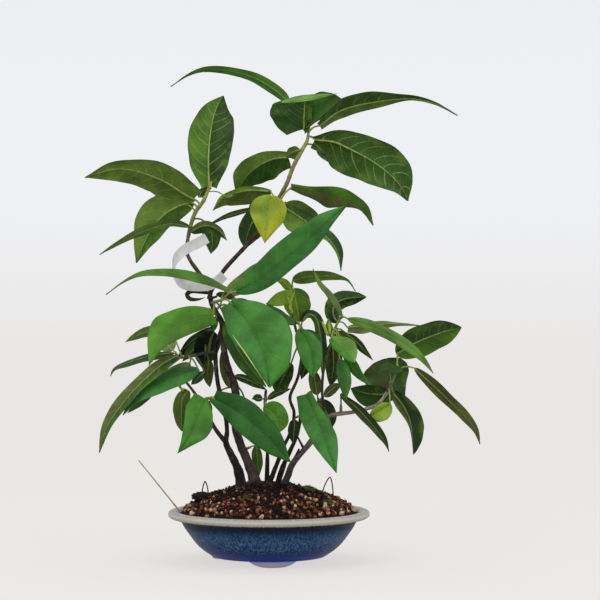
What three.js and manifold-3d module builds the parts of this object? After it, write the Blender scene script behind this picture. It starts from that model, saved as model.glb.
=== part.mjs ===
// Japanese fig bonsai (Ficus erecta) in a shallow round glazed pot. Millimetres, +Z up.
import * as THREE from "three";
import Module from "manifold-3d";
import { mergeVertices } from "three/addons/utils/BufferGeometryUtils.js";

const wasm = await Module();
wasm.setup();

// Driving dimensions of the pot
const POT_HEIGHT = 51;
const RIM_RADIUS = 101;
const LIP_WIDTH = 11;
const LIP_DEPTH = 7;
const BASE_RADIUS = 56;
const FOOT_HEIGHT = 5.5;
const FLOOR_TOP = FOOT_HEIGHT + 6;
const DRAIN_RADIUS = 7;
const POT_SIDES = 36;
// Outer face of the wall from the base up and inner face from the lip down: radius and height
const OUTER_WALL = [[58, 6.7], [66, 12], [73, 18.5], [79.5, 27], [84.5, 34], [88, 40], [91, 43]];
const INNER_WALL = [[88.5, 45], [84, 39], [80, 33], [75, 26], [68, 18.6], [60, FLOOR_TOP]];
// Section of the lip from outside to inside: radius and height from its outer top corner
const LIP = [
  [-3, -LIP_DEPTH], [-0.4, -5.2], [0, -3.4], [-1.2, -1], [-3.6, 0], [-9, -0.3], [-LIP_WIDTH, -2],
];

// Low feet: sectors of a ring, sunk in the base, with a narrower sole
const FOOT_INNER = 49;
const FOOT_OUTER = 57.5;
const FOOT_SINK = 2;
const SOLE_HEIGHT = 2;
const SOLE_LESS = 1.2;
const FOOT_STEPS = 8;
const FOOT_SPREAD = THREE.MathUtils.degToRad(25);
const FOOT_TURNS = [-85, 35, 155].map(THREE.MathUtils.degToRad);

// Driving dimensions of the soil
const SOIL_EDGE_Z = 45.5;
const SOIL_RISE = 31;
const SOIL_RADIUS = 92;
const SOIL_ROUNDNESS = 0.8;
const SOIL_TO_WALL = 0.8;
const SOIL_TO_FLOOR = 0.6;
const SOIL_RINGS = [12, 24, 36, 48, 58, 67, 75, 82, 88.2];
// Clods: height, waves across and in depth, and phase; they fade out towards the rim
const CLODS = [[0.9, 0.33, 0.21, 0], [0.7, 0.19, -0.37, 1.3], [0.6, 0.61, 0.5, 2.1]];
const CLOD_FADE = 14;

// Driving dimensions of the plant
const BLADE_THICKNESS = 0.8;
const PETIOLE_RADIUS = 1.15;
const SEAT_GAP = 0.3;

// The front view is drawn in millimetres from its upper left corner, and holds the pot's axis and foot plane here
const AXIS_ACROSS = 269;
const FOOT_DOWN = 561;
// The eye of the front view, from the pot's axis, and how far in front of the axis it stands
const EYE_X = 31;
const EYE_Z = 261;
const EYE_AWAY = 1618;

// A point of the front view at a depth behind the pot's axis, as a point in space on the eye's line of sight
function seen([across, down, depth]) {
  const spread = (EYE_AWAY + depth) / EYE_AWAY;
  return new THREE.Vector3(
    EYE_X + (across - AXIS_ACROSS - EYE_X) * spread,
    depth,
    EYE_Z + (FOOT_DOWN - down - EYE_Z) * spread,
  );
}

// Woody stems: points of the front view with a depth and a radius
const STEMS = [
  ["left trunk", [[241, 494, -5, 8], [241, 486, -5, 6], [238, 470, -7, 4.4], [231, 455, -8, 3.6],
    [226, 443, -7, 3], [227, 431, -5, 2.2], [225, 414, -2, 2.2], [219, 389, 2, 2.2],
    [216, 366, 5, 2.2], [216, 347, 6, 2.2], [221, 332, 5, 2.4], [223, 322, 3, 2.4]]],
  ["left branch", [[227, 444, -7, 2.6], [216, 430, -2, 2], [206, 412, 4, 1.7], [197, 396, 9, 1.6],
    [184, 379, 13, 1.2]]],
  ["main trunk", [[256, 494, 4, 9], [256, 485, 4, 6.6], [248, 462, 5, 4.6], [241, 445, 5, 4.2],
    [236, 429, 4, 4.1], [236, 398, 3, 4], [233, 381, 2, 3.7], [228, 368, 1, 3.5], [224, 350, 1, 3.3],
    [223, 330, 1, 3], [221, 320, 1, 2.8], [214, 309, 0, 2.6], [210, 297, 0, 2.5], [211, 290, 0, 2.4]]],
  ["left leader", [[211, 291, 0, 2.2], [199.5, 273.5, 1, 2], [190, 260, 2, 1.9], [186.5, 250, 3, 1.8],
    [188, 238, 3, 1.7]]],
  ["right leader", [[211, 291, 0, 2.3], [219, 277, -2, 2.2], [231, 262, -3, 2.2], [244, 248, -3, 2.2],
    [257, 234, -3, 2.1], [268, 216, -3, 2.1], [279, 198, -3, 2]]],
  ["back stem", [[267, 494, 10, 5], [267, 482, 10, 2.6], [267.5, 456, 12, 1.9], [268, 430, 14, 1.7],
    [265, 404, 15, 1.5], [266, 390, 15, 1.3]]],
  ["middle stem", [[268, 494, 2, 5], [269, 484, 2, 3], [273, 474, 3, 2.4], [278, 461, 5, 2.2],
    [284, 446, 8, 1.9], [292, 428, 10, 1.7], [294, 412, 10, 1.6], [290, 398, 9, 1.6], [298, 377, 8, 1.5],
    [302, 352, 5, 1.5], [302, 334, 2, 1.5]]],
  ["fifth stem", [[278, 494, 8, 6], [278, 484, 8, 3.2], [284, 464, 8, 2.5], [290, 451, 6, 2.2],
    [295, 440, 3, 1.9], [299, 427, 0, 1.7], [301, 410, -3, 1.5]]],
  ["right trunk", [[283, 496, -4, 7], [283, 487, -4, 4], [287, 478, -4, 3.4], [292, 465, -4, 3.2],
    [299.5, 455, -4, 3], [310, 443, -3, 2.7], [319, 429, -2, 2.4], [328, 417, -2, 2.2],
    [353, 412, -1, 1.9], [366, 409, 0, 1.9], [378, 404, 0, 1.8], [388, 391, 0, 1.6]]],
  ["upright twig", [[319, 429, -2, 1.8], [324, 412, 2, 1.5], [322, 391, 4, 1.4], [324, 368, 3, 1.4],
    [329, 350, 0, 1.4], [334, 330, -2, 1.3]]],
  ["crossing twig", [[302, 347, 4.6, 1.4], [296, 330, 3, 1.3], [291, 308, 2, 1.2]]],
  ["bare twig", [[295, 458, -4, 1.5], [299, 449, -7, 0.9]]],
  ["second bare twig", [[304, 449, -4, 1.4], [297, 436, -7, 0.8]]],
];
const STEM_SIDES = 6;
const STEM_DETAIL = 1.15;

// Root crown: an oval plug in the soil with a low dome, as heights with the share of its full width
const CROWN_CENTRE = [262, 487, 2];
const CROWN_HALF_WIDTH = 29;
const CROWN_HALF_DEPTH = 15;
const CROWN_SIDES = 18;
const CROWN_LEVELS = [[61, 1], [73, 1], [76.5, 0.94], [79.5, 0.8], [81.5, 0.55], [82.5, 0.2]];
const ABOVE_SOIL = 100;

// Green twigs, one body of each spray: points of the front view with a depth and a radius
const TWIGS = {
  upper_left: [[188.03, 237.7, 3, 1.9], [190.3, 227, 4, 2], [195.3, 212.5, 4, 2], [204, 200, 3, 1.9],
    [209, 188, 1, 1.3]],
  top_right: [[279.14, 197.74, -3, 2.1], [287, 183, -2, 2.1], [293, 167, 0, 2.1], [302, 150, 2, 2.1],
    [307, 141, 2, 1.8], [308.5, 132, 0, 1.2]],
  right_stem: [[277.4, 206.6, 10, 1.4], [277.6, 206.6, -3, 1.7], [278, 204, -12, 1.2]],
  yellow: [[276, 203, -4, 1.2], [275, 200, -12, 1.1]],
  middle: [[212, 303, -1, 1.7], [214.5, 302, -9, 1.6], [221, 300, -15, 1.4]],
  left: [[215, 352, 5.5, 1.7], [205, 353, 11, 1.5], [192, 356, 8, 1.4], [179, 358, 2, 1.1]],
  left_branch: [[184, 379.5, 13, 1.3], [180, 386, 14, 1.2], [182, 389, 12, 1.1]],
  middle_back: [[215, 310, 1, 1.7], [217, 309, 8, 1.5], [220, 306, 13, 1.2]],
  low_left: [[222, 403, -1, 1.7], [215, 401, -10, 1.5], [209, 398.5, -14, 1.3]],
  centre_back: [[233, 377, 3, 1.7], [235, 379, 11, 1.5], [238, 386, 16, 1.2]],
  centre_small: [[266, 396, 14, 1.3], [265.5, 402, 7, 1.1]],
  centre_low: [[301, 412, -3, 1.6], [302, 404, -9, 1.4], [304, 398, -17, 1.2]],
  centre_upper: [[291, 309, 2, 1.4], [290, 299, 1, 1.3], [291.5, 290, 2, 1.1]],
  centre_top: [[302, 336, 2, 1.6], [301.5, 328, -2, 1.4], [299, 324, -6, 1.1]],
  centre_rear: [[302, 342, 4, 1.7], [302, 340, 11, 1.5], [303, 337, 15, 1.2]],
  low_rear: [[301, 412, -1.5, 1.7], [303, 408, 8, 1.4], [305, 406, 16, 1.2]],
  right_top: [[334, 332, -2, 1.5], [337, 324, -3, 1.3], [340.5, 318.5, -3, 1.1]],
  right_end: [[387.5, 392, 0, 1.7], [391, 384, -3, 1.5], [394, 377, -6, 1.3], [397, 370, -9, 1.1]],
  right_low: [[341, 414, -1, 1.6], [341, 406, -6, 1.3]],
  inner_right: [[322.5, 401, 4, 1.4], [318, 399, 10, 1.1]],
  inner_low: [[300.4, 416, -2.5, 1.5], [297, 417, -6, 1.1]],
  low_back: [[243, 450, 6, 1.6], [250, 447, 14, 1.3]],
  dead: [[207, 297.5, 4, 1.3], [212, 298, 4.2, 1.5], [217, 296.5, 5, 1.2]],
};

// Leaves: name, spray, tone, the midrib from base to tip, the half widths seen to the left and right of it,
// how far each half turns out of the picture (degrees, away from the eye positive), the widest place along
// the blade and how slender its end is. These two stand for both halves, or for the left and right half, and
// a half's widest place may be a list instead: the shares of its full width at even steps from base to tip.
const LEAVES = [
  ["l1", "upper_left", "dull", [[194, 199, 2], [180, 190.5, -3], [165, 181, -8], [150, 174.8, -12],
    [133, 169.6, -17], [115, 168.3, -22], [84, 176.5, -28]], [15, 17], [40, -38],
    [0.55, [0.65, 1, 0.93, 0.66, 0.4, 0]], 1],
  ["l2", "upper_left", "dull", [[191, 203, 12], [176, 208, 18], [160, 219.5, 24], [147, 239, 28],
    [137, 263, 30]], [13, 22], [30, 12], [0.36, [0.5, 0.85, 1, 0.85, 0.42, 0]], 1],
  ["l3", "upper_left", "dull", [[190, 226.5, -6], [172, 222.5, -14], [155, 226, -22], [138, 232.3, -29],
    [120, 241, -37], [98, 254, -46]], [4.2, 4.4], [64, -66], 0.4, 1],
  ["l4", "upper_left", "fresh", [[208.7, 185.5, 0], [208, 160, -4], [210.5, 130, -3], [215.5, 110, 2],
    [223, 96, 6]], [21.5, 23.5], [-14, 22],
    [[0.3, 0.85, 1, 0.98, 0.66, 0], [0.3, 0.82, 1, 0.98, 0.88, 0]], 1],
  ["l5", "upper_left", "dark", [[191, 231, -8], [200, 226, -12], [210, 225.5, -18], [219, 230, -22],
    [227, 240, -23]], [4.5, 8], [-40, 46], 0.4, 1],
  ["l6", "upper_left", "dark", [[208, 224, 14], [211.5, 233, 20], [212.5, 243, 24], [211, 254, 26]],
    [9, 9.5], [20, -20], 0.42, 1],
  ["l10", "upper_left", "dark", [[199, 197, 9], [202, 193, 12], [206, 190, 14], [212, 188.5, 15]],
    [4, 4], [20, -20], 0.45, 1],
  ["b3", "upper_left", "dull", [[207, 184, 12], [207, 168, 26], [209, 148, 42], [213, 128, 54]],
    [15, 15], [10, 20], 0.5, 0.9],
  ["b4", "upper_left", "dull", [[184, 205, 18], [170, 196, 44], [156, 188, 68], [142, 182, 90]],
    [8, 8], [50, -46], 0.45, 1],
  ["t1", "top_right", "dark", [[290, 106, 14], [283, 96, 22], [269.5, 86.3, 30], [255, 78.3, 36],
    [238, 73.2, 41], [220, 70.3, 46], [203, 70.8, 48], [188, 76.5, 50], [171.5, 87.5, 52]], [5.6, 5.6],
    [60, -58], 0.24, 1.2],
  ["t2", "top_right", "dark", [[304, 129, -6], [303.5, 121, -14], [304, 112, -20], [304.5, 103, -22],
    [305, 97.5, -20]], [34, 8], [18, 24], [[0.5, 0.82, 0.95, 1, 0.93, 0], 0.5], [1, 0.6]],
  ["t2b", "top_right", "dark", [[306, 129, -7], [316, 120.5, -14], [326, 112, -20], [335, 104, -24],
    [341.5, 98, -26]], [22, 1.5], [20, -20], [[0.4, 0.85, 1, 1, 0.85, 0.3], 0.5], 1],
  ["t3", "top_right", "dull", [[320, 125.5, 6], [332, 115, 11], [346, 108, 14], [362, 104, 14],
    [378, 101.3, 12], [396, 99, 8], [413, 98.4, 4], [436, 103.5, -1], [458, 115, -6]], [12, 9.5], [-50, 54],
    [[0.25, 0.95, 0.9, 0.42, 0.13, 0], [0.4, 1, 0.68, 0.32, 0.13, 0]], 1],
  ["t4", "top_right", "dull", [[315, 139.5, 2], [334, 141.5, 0], [352, 149.5, -6], [371, 159.5, -13],
    [389, 172.5, -21], [401, 185.5, -27], [408.5, 200.5, -31]], [24.5, 26], [-28, 30],
    [[0.1, 0.6, 0.88, 1, 0.9, 0], [0.3, 0.92, 1, 0.85, 0.52, 0]], 1],
  ["t5", "top_right", "dark", [[288, 158, 16], [275, 159, 26], [261, 165, 34], [248, 175.5, 42],
    [236, 194, 46]], [19.5, 14], [32, -14], [[0.5, 0.88, 1, 0.85, 0.5, 0], [0.4, 0.55, 0.8, 1, 0.9, 0]], 1],
  ["t5b", "top_right", "dull", [[299, 150, -1], [294, 151.5, 4], [289, 154.5, 8], [286, 157, 10]],
    [8, 5.5], [30, -30], 0.5, 1],
  ["b5", "top_right", "dull", [[318, 150, 16], [340, 155, 40], [364, 165, 66], [386, 179, 88]],
    [12, 12], [-40, 40], 0.45, 1],
  ["b6", "top_right", "dull", [[302, 128, 12], [298, 119, 40], [295, 112, 66], [292, 114, 90]],
    [14, 14], [10, -10], 0.45, 1],
  ["t6", "right_stem", "mid", [[292, 187, -10], [305, 190.5, -15], [323, 193.5, -21], [344, 199.5, -30],
    [361, 208.5, -38], [373.5, 225, -44]], [10.5, 14.5], [-46, 42],
    [[0.25, 0.5, 0.85, 1, 0.75, 0], [0.2, 0.42, 1, 0.45, 0.1, 0]], 1],
  ["l7", "right_stem", "dull", [[270, 191, 12], [253, 189.8, 16], [237, 192.5, 22], [223, 198, 26],
    [213, 210.5, 29]], [14, 4], [48, -44], 0.45, 1],
  ["l9", "upper_left", "fresh", [[227, 197.4, 12], [230, 196.4, 12.5], [234, 195.5, 13]],
    [1.4, 1.4], [10, -10], 0.45, 1],
  ["l8", "right_stem", "dark", [[258, 208.5, 2], [241, 211.3, -4], [222, 217.8, -8], [205, 227, -11]],
    [2.9, 2.6], [64, -64], 0.4, 1],
  ["t8", "right_stem", "dark", [[284, 207, 16], [297, 216, 26], [312, 226.5, 33], [328.5, 239.5, 37],
    [337.5, 253, 38], [340.5, 271, 39]], [9, 18], [34, -8],
    [[0.5, 0.8, 0.85, 0.8, 0.6, 0], [0.5, 1, 0.7, 0.16, 0.1, 0]], 1],
  ["t10", "right_stem", "dark", [[262, 212, 16], [253, 222, 24], [247.5, 235, 30], [245, 248, 32]],
    [14, 11], [14, -10], 0.45, 0.8],
  ["b16", "right_stem", "dull", [[287, 204, 22], [302, 212, 50], [315, 224, 76], [324, 240, 98]],
    [9, 9], [-40, 40], 0.45, 1],
  ["b17", "right_stem", "dull", [[270, 204, 22], [262, 207, 48], [256, 213, 74], [253, 224, 96]],
    [10, 10], [20, -20], 0.45, 1],
  ["y1", "yellow", "yellow", [[271, 197, -22], [269.5, 208, -27], [267.5, 222, -30], [264.5, 243, -31]],
    [17.5, 19.5], [-10, -8], 0.32, 1.25],
  ["t7", "middle", "mid", [[237.5, 291, -22], [256, 281, -34], [280, 263, -46], [307, 240.5, -58],
    [331, 218, -66], [347.5, 204, -70]], [18, 12.3], [10, -36], [[0.2, 0.78, 1, 0.93, 0.7, 0], 0.4], 1],
  ["m1", "middle", "mid", [[226, 289, -20], [206, 280, -30], [183, 274.2, -40], [160, 271.2, -50],
    [140, 272.8, -56], [122, 281.2, -61], [104, 294.5, -66]], [5, 4.7], [-58, 58],
    [[0.45, 0.95, 1, 0.8, 0.3, 0], [0.45, 0.95, 1, 0.5, 0.2, 0]], 1],
  ["c1", "middle", "mid", [[232, 304, -30], [245, 320, -46], [258, 342, -60], [266, 365, -72],
    [269, 388.5, -80]], [34.5, 25], [-16, -10],
    [[0.1, 0.7, 1, 0.98, 0.68, 0], [0.38, 0.9, 0.88, 0.68, 0.46, 0]], 1],
  ["c1b", "middle", "dark", [[226, 322, -8], [232, 338, -8], [241, 354, -10], [252, 370, -12],
    [266, 387, -14]], [7, 9.5], [30, 24], 0.5, 1],
  ["m2", "middle", "bright", [[213, 316, -14], [196, 318.5, -26], [177, 326, -38], [161, 339, -48],
    [147.5, 366, -55]], [13.5, 20], [-8, 24],
    [[0.6, 0.95, 1, 0.8, 0.4, 0], [0.35, 0.64, 0.86, 1, 0.52, 0]], 1],
  ["m15", "middle", "dark", [[216, 317, -6], [214.5, 321, -8], [213.5, 326, -9], [213, 332, -10]],
    [4, 3.5], [10, -10], 0.45, 0.8],
  ["b1", "middle_back", "dull", [[229, 306, 22], [240, 311, 42], [250, 320, 66], [256, 336, 92]],
    [14, 14], [8, -8], 0.45, 1],
  ["b2", "middle_back", "dull", [[226, 295, 24], [244, 283, 42], [264, 269, 64], [284, 255, 86]],
    [9, 9], [46, -46], 0.45, 1],
  ["m3", "left", "dull", [[168, 330, 26], [156, 330, 29], [143, 333, 32], [126, 341.5, 35]],
    [5, 5], [30, -30], 0.45, 1],
  ["m9", "left", "dark", [[213, 333, 14], [209, 343, 20], [205.5, 354, 24], [203, 369, 26]],
    [12, 13.5], [26, -26], 0.44, 1],
  ["m4", "left", "dark", [[174, 353.5, -2], [158, 355.6, -6], [142, 359, -10], [126, 364.2, -12],
    [113.5, 370, -13], [110.5, 376.5, -13]], [3.8, 3.4], [-58, 58], 0.35, 0.8],
  ["m5", "left", "dull", [[176, 356.5, -18], [160, 366.5, -29], [146.5, 378.5, -37], [135, 389.5, -44],
    [124, 402, -49], [114, 415, -53], [105.5, 429, -56], [98, 454, -58]], [7.5, 8], [-52, 48],
    [[0.6, 1, 0.7, 0.66, 0.55, 0], 0.5], 0.8],
  ["m6", "left", "blue", [[198, 370, -14], [180, 376.5, -26], [162, 383.5, -34], [146, 390.5, -40],
    [133, 400.5, -44], [121.5, 416, -48]], [9, 10], [-36, 44], 0.42, 1],
  ["m8", "left", "dark", [[213, 328, 26], [202, 334.5, 32], [190, 343, 38], [178, 357, 42]],
    [10, 4.5], [16, -16], 0.45, 1],
  ["m8b", "left", "dull", [[206, 341, 30], [198, 346, 36], [190, 353, 40], [183, 361, 42]],
    [6, 6], [16, -16], 0.45, 1],
  ["m11", "left", "dark", [[204, 373, -8], [200, 376, -10], [196, 380, -12], [191, 385, -13]],
    [4.5, 4.5], [-20, 20], 0.45, 1],
  ["m14", "left", "shade", [[209, 360, 14], [208, 368, 18], [208, 377, 20], [210, 387, 21]],
    [6, 5], [20, -20], 0.45, 0.9],
  ["b7", "left", "dull", [[172, 350, 16], [168, 344, 44], [164, 341, 70], [160, 345, 94]],
    [9, 9], [30, -30], 0.45, 1],
  ["b8", "left", "dull", [[190, 364, 18], [174, 375, 46], [158, 386, 72], [146, 396, 94]],
    [8, 8], [-46, 46], 0.45, 1],
  ["m7", "left_branch", "blue", [[152, 394, 16], [145, 399, 18], [137, 405, 20], [128, 413, 21]],
    [3.5, 3.5], [30, -20], 0.45, 1],
  ["m12", "left_branch", "dull", [[188, 391, 10], [183, 400, 9], [182, 414, 8], [182, 431, 8]],
    [7.5, 8.5], [26, 26], 0.45, 0.8],
  ["m13", "low_left", "bright", [[204.5, 399, -16], [200, 412, -24], [193.5, 427.5, -31], [186, 441.5, -34],
    [177, 454, -36]], [17.5, 16], [-12, -6], [[0.1, 0.72, 0.98, 0.9, 0.34, 0], [0.7, 1, 0.82, 0.6, 0.3, 0]],
    1],
  ["c4", "low_left", "mid", [[214, 399, -24], [231, 409, -34], [251, 424, -44], [270, 441, -52],
    [290.5, 464, -57]], [17.5, 15.5], [-20, 8],
    [[0.45, 0.9, 1, 0.88, 0.54, 0], [0.3, 0.8, 0.98, 1, 0.71, 0]], 1],
  ["c2", "centre_back", "dull", [[235, 376, 14], [245, 379, 19], [256, 384, 23], [267, 390, 25]],
    [4.5, 4], [30, -30], 0.45, 1],
  ["c21", "centre_back", "shade", [[231, 387, 16], [228, 376, 20], [225, 364, 23], [222, 350, 25]],
    [6, 6], [16, -16], 0.45, 0.9],
  ["b12", "centre_back", "dull", [[209, 402, 40], [203, 413, 52], [196, 425, 62], [188, 438, 70]],
    [9, 9], [12, -12], 0.45, 1],
  ["b13", "centre_back", "dull", [[247, 405, 30], [252, 415, 50], [259, 427, 70], [266, 441, 90]],
    [10, 10], [-16, 16], 0.45, 1],
  ["c5", "centre_small", "bright", [[265, 407, -4], [273, 413, -10], [278, 421, -14], [279, 433, -16]],
    [12, 8], [-10, 10], 0.45, 0.8],
  ["c18", "centre_small", "dark", [[262, 399, 9], [259, 398.5, 11], [256, 398, 13], [252, 398.5, 14]],
    [3, 4.5], [20, -20], 0.45, 1],
  ["c19", "centre_small", "dark", [[268, 399, 3], [275, 394, 0], [283, 391, -3], [291, 389, -5]],
    [3.5, 3.5], [20, -20], 0.45, 1],
  ["c6", "centre_low", "mid", [[306, 395, -24], [313.5, 412, -36], [321, 431, -48], [328.5, 452, -58],
    [336.7, 474.5, -64]], [13.5, 15.5], [-20, -6],
    [[0.45, 0.55, 0.85, 1, 0.6, 0], [0.6, 0.98, 0.98, 0.8, 0.46, 0]], 1],
  ["b14", "low_rear", "dull", [[307, 405, 26], [314, 416, 46], [320, 430, 64], [327, 447, 82]],
    [9, 9], [-20, 20], 0.45, 1],
  ["c7", "centre_top", "mid", [[300, 330, -18], [307, 341, -26], [311.5, 355, -32], [313, 366, -35],
    [312.5, 378, -36]], [12, 12.5], [-14, -14], [[0.15, 0.75, 1, 0.95, 0.62, 0], 0.4], [1, 0.8]],
  ["c8", "centre_top", "dark", [[302, 321.5, 6], [306, 315, 8], [311.5, 314, 10], [317, 319, 12],
    [320.5, 333, 14], [322.5, 354, 15], [323, 378, 14]], [5, 5], [54, 48], 0.5, 1],
  ["c15", "centre_top", "mid", [[297, 323, -6], [288, 320, -12], [278, 313, -16], [266, 303, -18]],
    [4.5, 4.5], [-50, 50], 0.45, 1],
  ["c3", "centre_rear", "dark", [[291, 364, 20], [286, 371, 26], [281, 381, 30], [277, 392.5, 32]],
    [9, 8], [20, -20], 0.62, 0.6],
  ["c24", "centre_rear", "shade", [[307, 348, 20], [307, 357, 24], [305, 367, 26], [301, 379, 27]],
    [6, 6], [16, -16], 0.45, 0.9],
  ["b9", "centre_rear", "dull", [[304, 331, 14], [306, 337, 40], [309, 348, 66], [311, 361, 90]],
    [11, 11], [8, -8], 0.45, 1],
  ["c13", "centre_upper", "dull", [[293, 279.8, 2], [303, 276.8, -3], [314, 275.6, -8], [326, 275.2, -13],
    [338, 276.5, -17], [348, 280, -20], [356, 291, -21]], [5.8, 7], [-50, 50], 0.25, 1.5],
  ["c14", "centre_upper", "dull", [[294, 290, 8], [295.5, 299, 12], [297.5, 309, 14], [300, 322, 14]],
    [14, 12], [16, 22], 0.42, 0.8],
  ["c14b", "centre_upper", "bright", [[291, 292, -2], [284, 295, -6], [276, 299, -9], [266, 304, -11]],
    [9, 5], [-10, 10], 0.45, 1],
  ["c14c", "centre_upper", "dull", [[291, 290, 1], [287, 286, 0], [283, 282, -1], [276, 280, -1]],
    [4, 4.5], [20, -20], 0.45, 1],
  ["c9", "right_top", "mid", [[331, 339.5, -20], [339, 345, -28], [347.5, 352.5, -34], [355, 363, -38]],
    [12.5, 7], [-20, -8], [[0.2, 0.62, 0.95, 1, 0.7, 0], 0.5], [1, 0.7]],
  ["c9b", "right_top", "mid", [[344.5, 353, -10], [352, 364, -14], [359, 374.5, -17], [370, 385.5, -19]],
    [5, 5.5], [-30, 30], 0.4, 1],
  ["c10", "right_top", "bright", [[340, 360, -12], [343, 370, -16], [345, 382, -19], [346, 400, -20]],
    [7, 7], [-12, -12], 0.45, 1],
  ["c11", "right_top", "dark", [[336, 322, 10], [332.5, 314, 14], [334, 305, 20], [342, 299.5, 25],
    [354, 297.5, 28], [366, 297, 29]], [8.5, 9], [26, 30], 0.45, 0.8],
  ["c12", "right_top", "mid", [[342, 316, -14], [336.5, 304.5, -22], [328.5, 293, -31], [320, 283, -35],
    [313, 268.5, -37]], [3.4, 3.2], [-62, 60], 0.42, 1],
  ["r1", "right_top", "mid", [[348, 319, -16], [370, 325.5, -24], [392, 336, -32], [412, 349, -38],
    [424, 360, -41], [434, 374, -43]], [5.5, 6], [-44, 44], 0.38, 0.8],
  ["r2", "right_top", "brown", [[348, 328, 10], [366, 326.5, 18], [386, 324.6, 24], [404, 324.8, 29],
    [421, 326, 33]], [4, 7.5], [60, -50], [0.3, [0.6, 1, 0.72, 0.3, 0.14, 0]], 1.2],
  ["c16", "right_top", "dark", [[347, 334, 4], [355, 339.5, 8], [362.5, 348, 11], [373, 360, 13]],
    [3.5, 4.5], [-40, 40], 0.4, 1],
  ["c20", "right_top", "fresh", [[333, 337, -7], [330.5, 332, -9], [329, 326, -10], [328.5, 318, -10]],
    [4, 4], [10, -10], 0.45, 1],
  ["c8b", "right_top", "dark", [[332, 344, 10], [333, 355, 15], [333, 368, 18], [330, 386, 20]],
    [9, 8], [14, -14], 0.45, 0.9],
  ["b10", "right_top", "dull", [[338, 332, 12], [343, 342, 38], [348, 352, 64], [353, 365, 88]],
    [10, 10], [-10, 10], 0.45, 1],
  ["r3", "right_end", "dull", [[398, 353, -6], [414, 343.3, -12], [431, 336, -17], [446, 331, -20],
    [462, 327, -22]], [14.5, 15.5], [-26, 34], [0.42, 0.45], [0.76, 0.72]],
  ["r4", "right_end", "dark", [[394, 398, 18], [391, 386, 24], [389, 373, 28], [386, 358, 30]],
    [28, 19], [10, 14], [[0.3, 0.6, 0.85, 1, 0.84, 0.35], [0.5, 0.72, 0.85, 1, 1, 0.6]], 1],
  ["r5", "right_end", "blue", [[402, 371, -14], [393, 370.5, -17], [386, 368, -19], [378, 375, -20]],
    [3.5, 6], [-20, 20], 0.45, 1],
  ["r6", "right_end", "brown", [[415.5, 368.5, -20], [433, 384.3, -27], [450.3, 401, -34], [465.3, 415.7, -39],
    [477, 430.5, -43], [481.5, 445, -45]], [5.8, 6], [-46, 48], 0.4, 0.8],
  ["r7", "right_end", "dark", [[394, 394, -8], [403, 405, -14], [410.5, 421, -18], [414, 455, -20]],
    [13, 7], [-16, 16], [[0.3, 0.68, 0.92, 1, 0.76, 0.1], [0.6, 1, 0.8, 0.25, 0.1, 0]], 1],
  ["r4b", "right_end", "dark", [[388, 394, 10], [376, 394, 14], [364, 392.5, 17], [350.5, 388, 19]],
    [14, 9], [10, -12], [0.36, 0.45], 0.9],
  ["r9", "right_end", "lime", [[390, 405, -14], [384, 408.5, -18], [377, 413, -20], [369.5, 417, -20]],
    [11, 6], [-24, -20], 0.5, 0.7],
  ["b11", "right_end", "dull", [[392, 384, 40], [390, 380, 58], [388, 377, 78], [386, 381, 98]],
    [13, 13], [10, -10], 0.45, 1],
  ["r8", "right_low", "dark", [[341, 394.5, -8], [355, 405.5, -14], [368.5, 419.5, -20], [379.5, 433, -25],
    [386, 442.5, -27], [389.6, 452, -28]], [5, 5.4], [-48, 50], [[0.3, 0.65, 0.9, 1, 0.7, 0], 0.42], 0.9],
  ["r10", "inner_right", "dark", [[318, 402, 14], [323.5, 408, 19], [328, 416, 23], [332, 427, 25]],
    [9.5, 7.5], [14, -14], 0.45, 0.8],
  ["c22", "inner_right", "shade", [[317, 394, 13], [316, 386, 17], [314.5, 378, 20], [311, 367, 22]],
    [6.5, 6], [16, -16], 0.45, 0.9],
  ["c23", "inner_right", "shade", [[325, 396, 10], [330, 391, 14], [335, 387, 17], [342, 384, 18]],
    [5, 5], [16, -16], 0.45, 0.9],
  ["r11", "inner_low", "dark", [[294, 420, -6], [294, 427, -7], [293.5, 435, -7], [293, 444, -6]],
    [6, 6], [16, -16], 0.45, 1],
  ["k9", "low_back", "dull", [[256, 446, 18], [257, 455, 22], [258, 465, 25], [259, 476, 26]],
    [5.5, 5.5], [14, -14], 0.45, 1],
  ["d1", "dead", "dead", [[211, 293.6, 4.5], [200, 291.5, 6], [191, 291.2, 5.5], [187, 294.5, 3.5],
    [190, 298.8, 1.5], [198, 299.3, 0], [205, 297.5, -0.5]], [2.4, 2.4], [20, -30], 0.4, 0.8],
  ["d2", "dead", "dead", [[217, 294, 5.5], [225, 295.5, 7], [232, 297.5, 7], [238, 301.5, 6]],
    [3.4, 3.2], [20, -30], 0.4, 1],
];

// Label strip: middle line of the front view with a depth, and how far its width turns from the picture
const LABEL_WIDTH = 10.5;
const LABEL_THICKNESS = 0.9;
const LABEL_STATIONS = 18;
const LABEL = [
  [207, 238, -3, 10], [197, 243.5, -1.2, 8], [187, 248.5, 0.2, 12], [178, 256, 1, 35], [174.5, 264, 2, 70],
  [174, 272, 2, 80], [177, 279, 0, 60], [184, 284.5, -2.5, 25], [195, 286, -3.4, 8], [207, 285.5, -3.5, 4],
  [217, 281.5, -4.6, 8], [224, 275, -5.6, 20],
];

// Small things in the soil
const WIRE_SIDES = 6;
const PIN_STATIONS = 9;
const PIN_RADIUS = 0.7;
const PINS = {
  wire_pin_left: [[202, 500, -6], [202.3, 490, -6], [205, 481.5, -6], [207.8, 490, -6], [208, 499, -6]],
  wire_pin_right: [[322.6, 500, -10], [323.5, 489, -10], [330, 477.5, -10], [332.8, 489, -10], [333, 500, -10]],
};
const STRAW_STATIONS = 5;
const STRAW_RADIUS = 0.8;
const STRAW = [[183.5, 516, -4], [179, 510.5, -4], [160, 487, -3], [138.6, 460.3, -2]];

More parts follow.
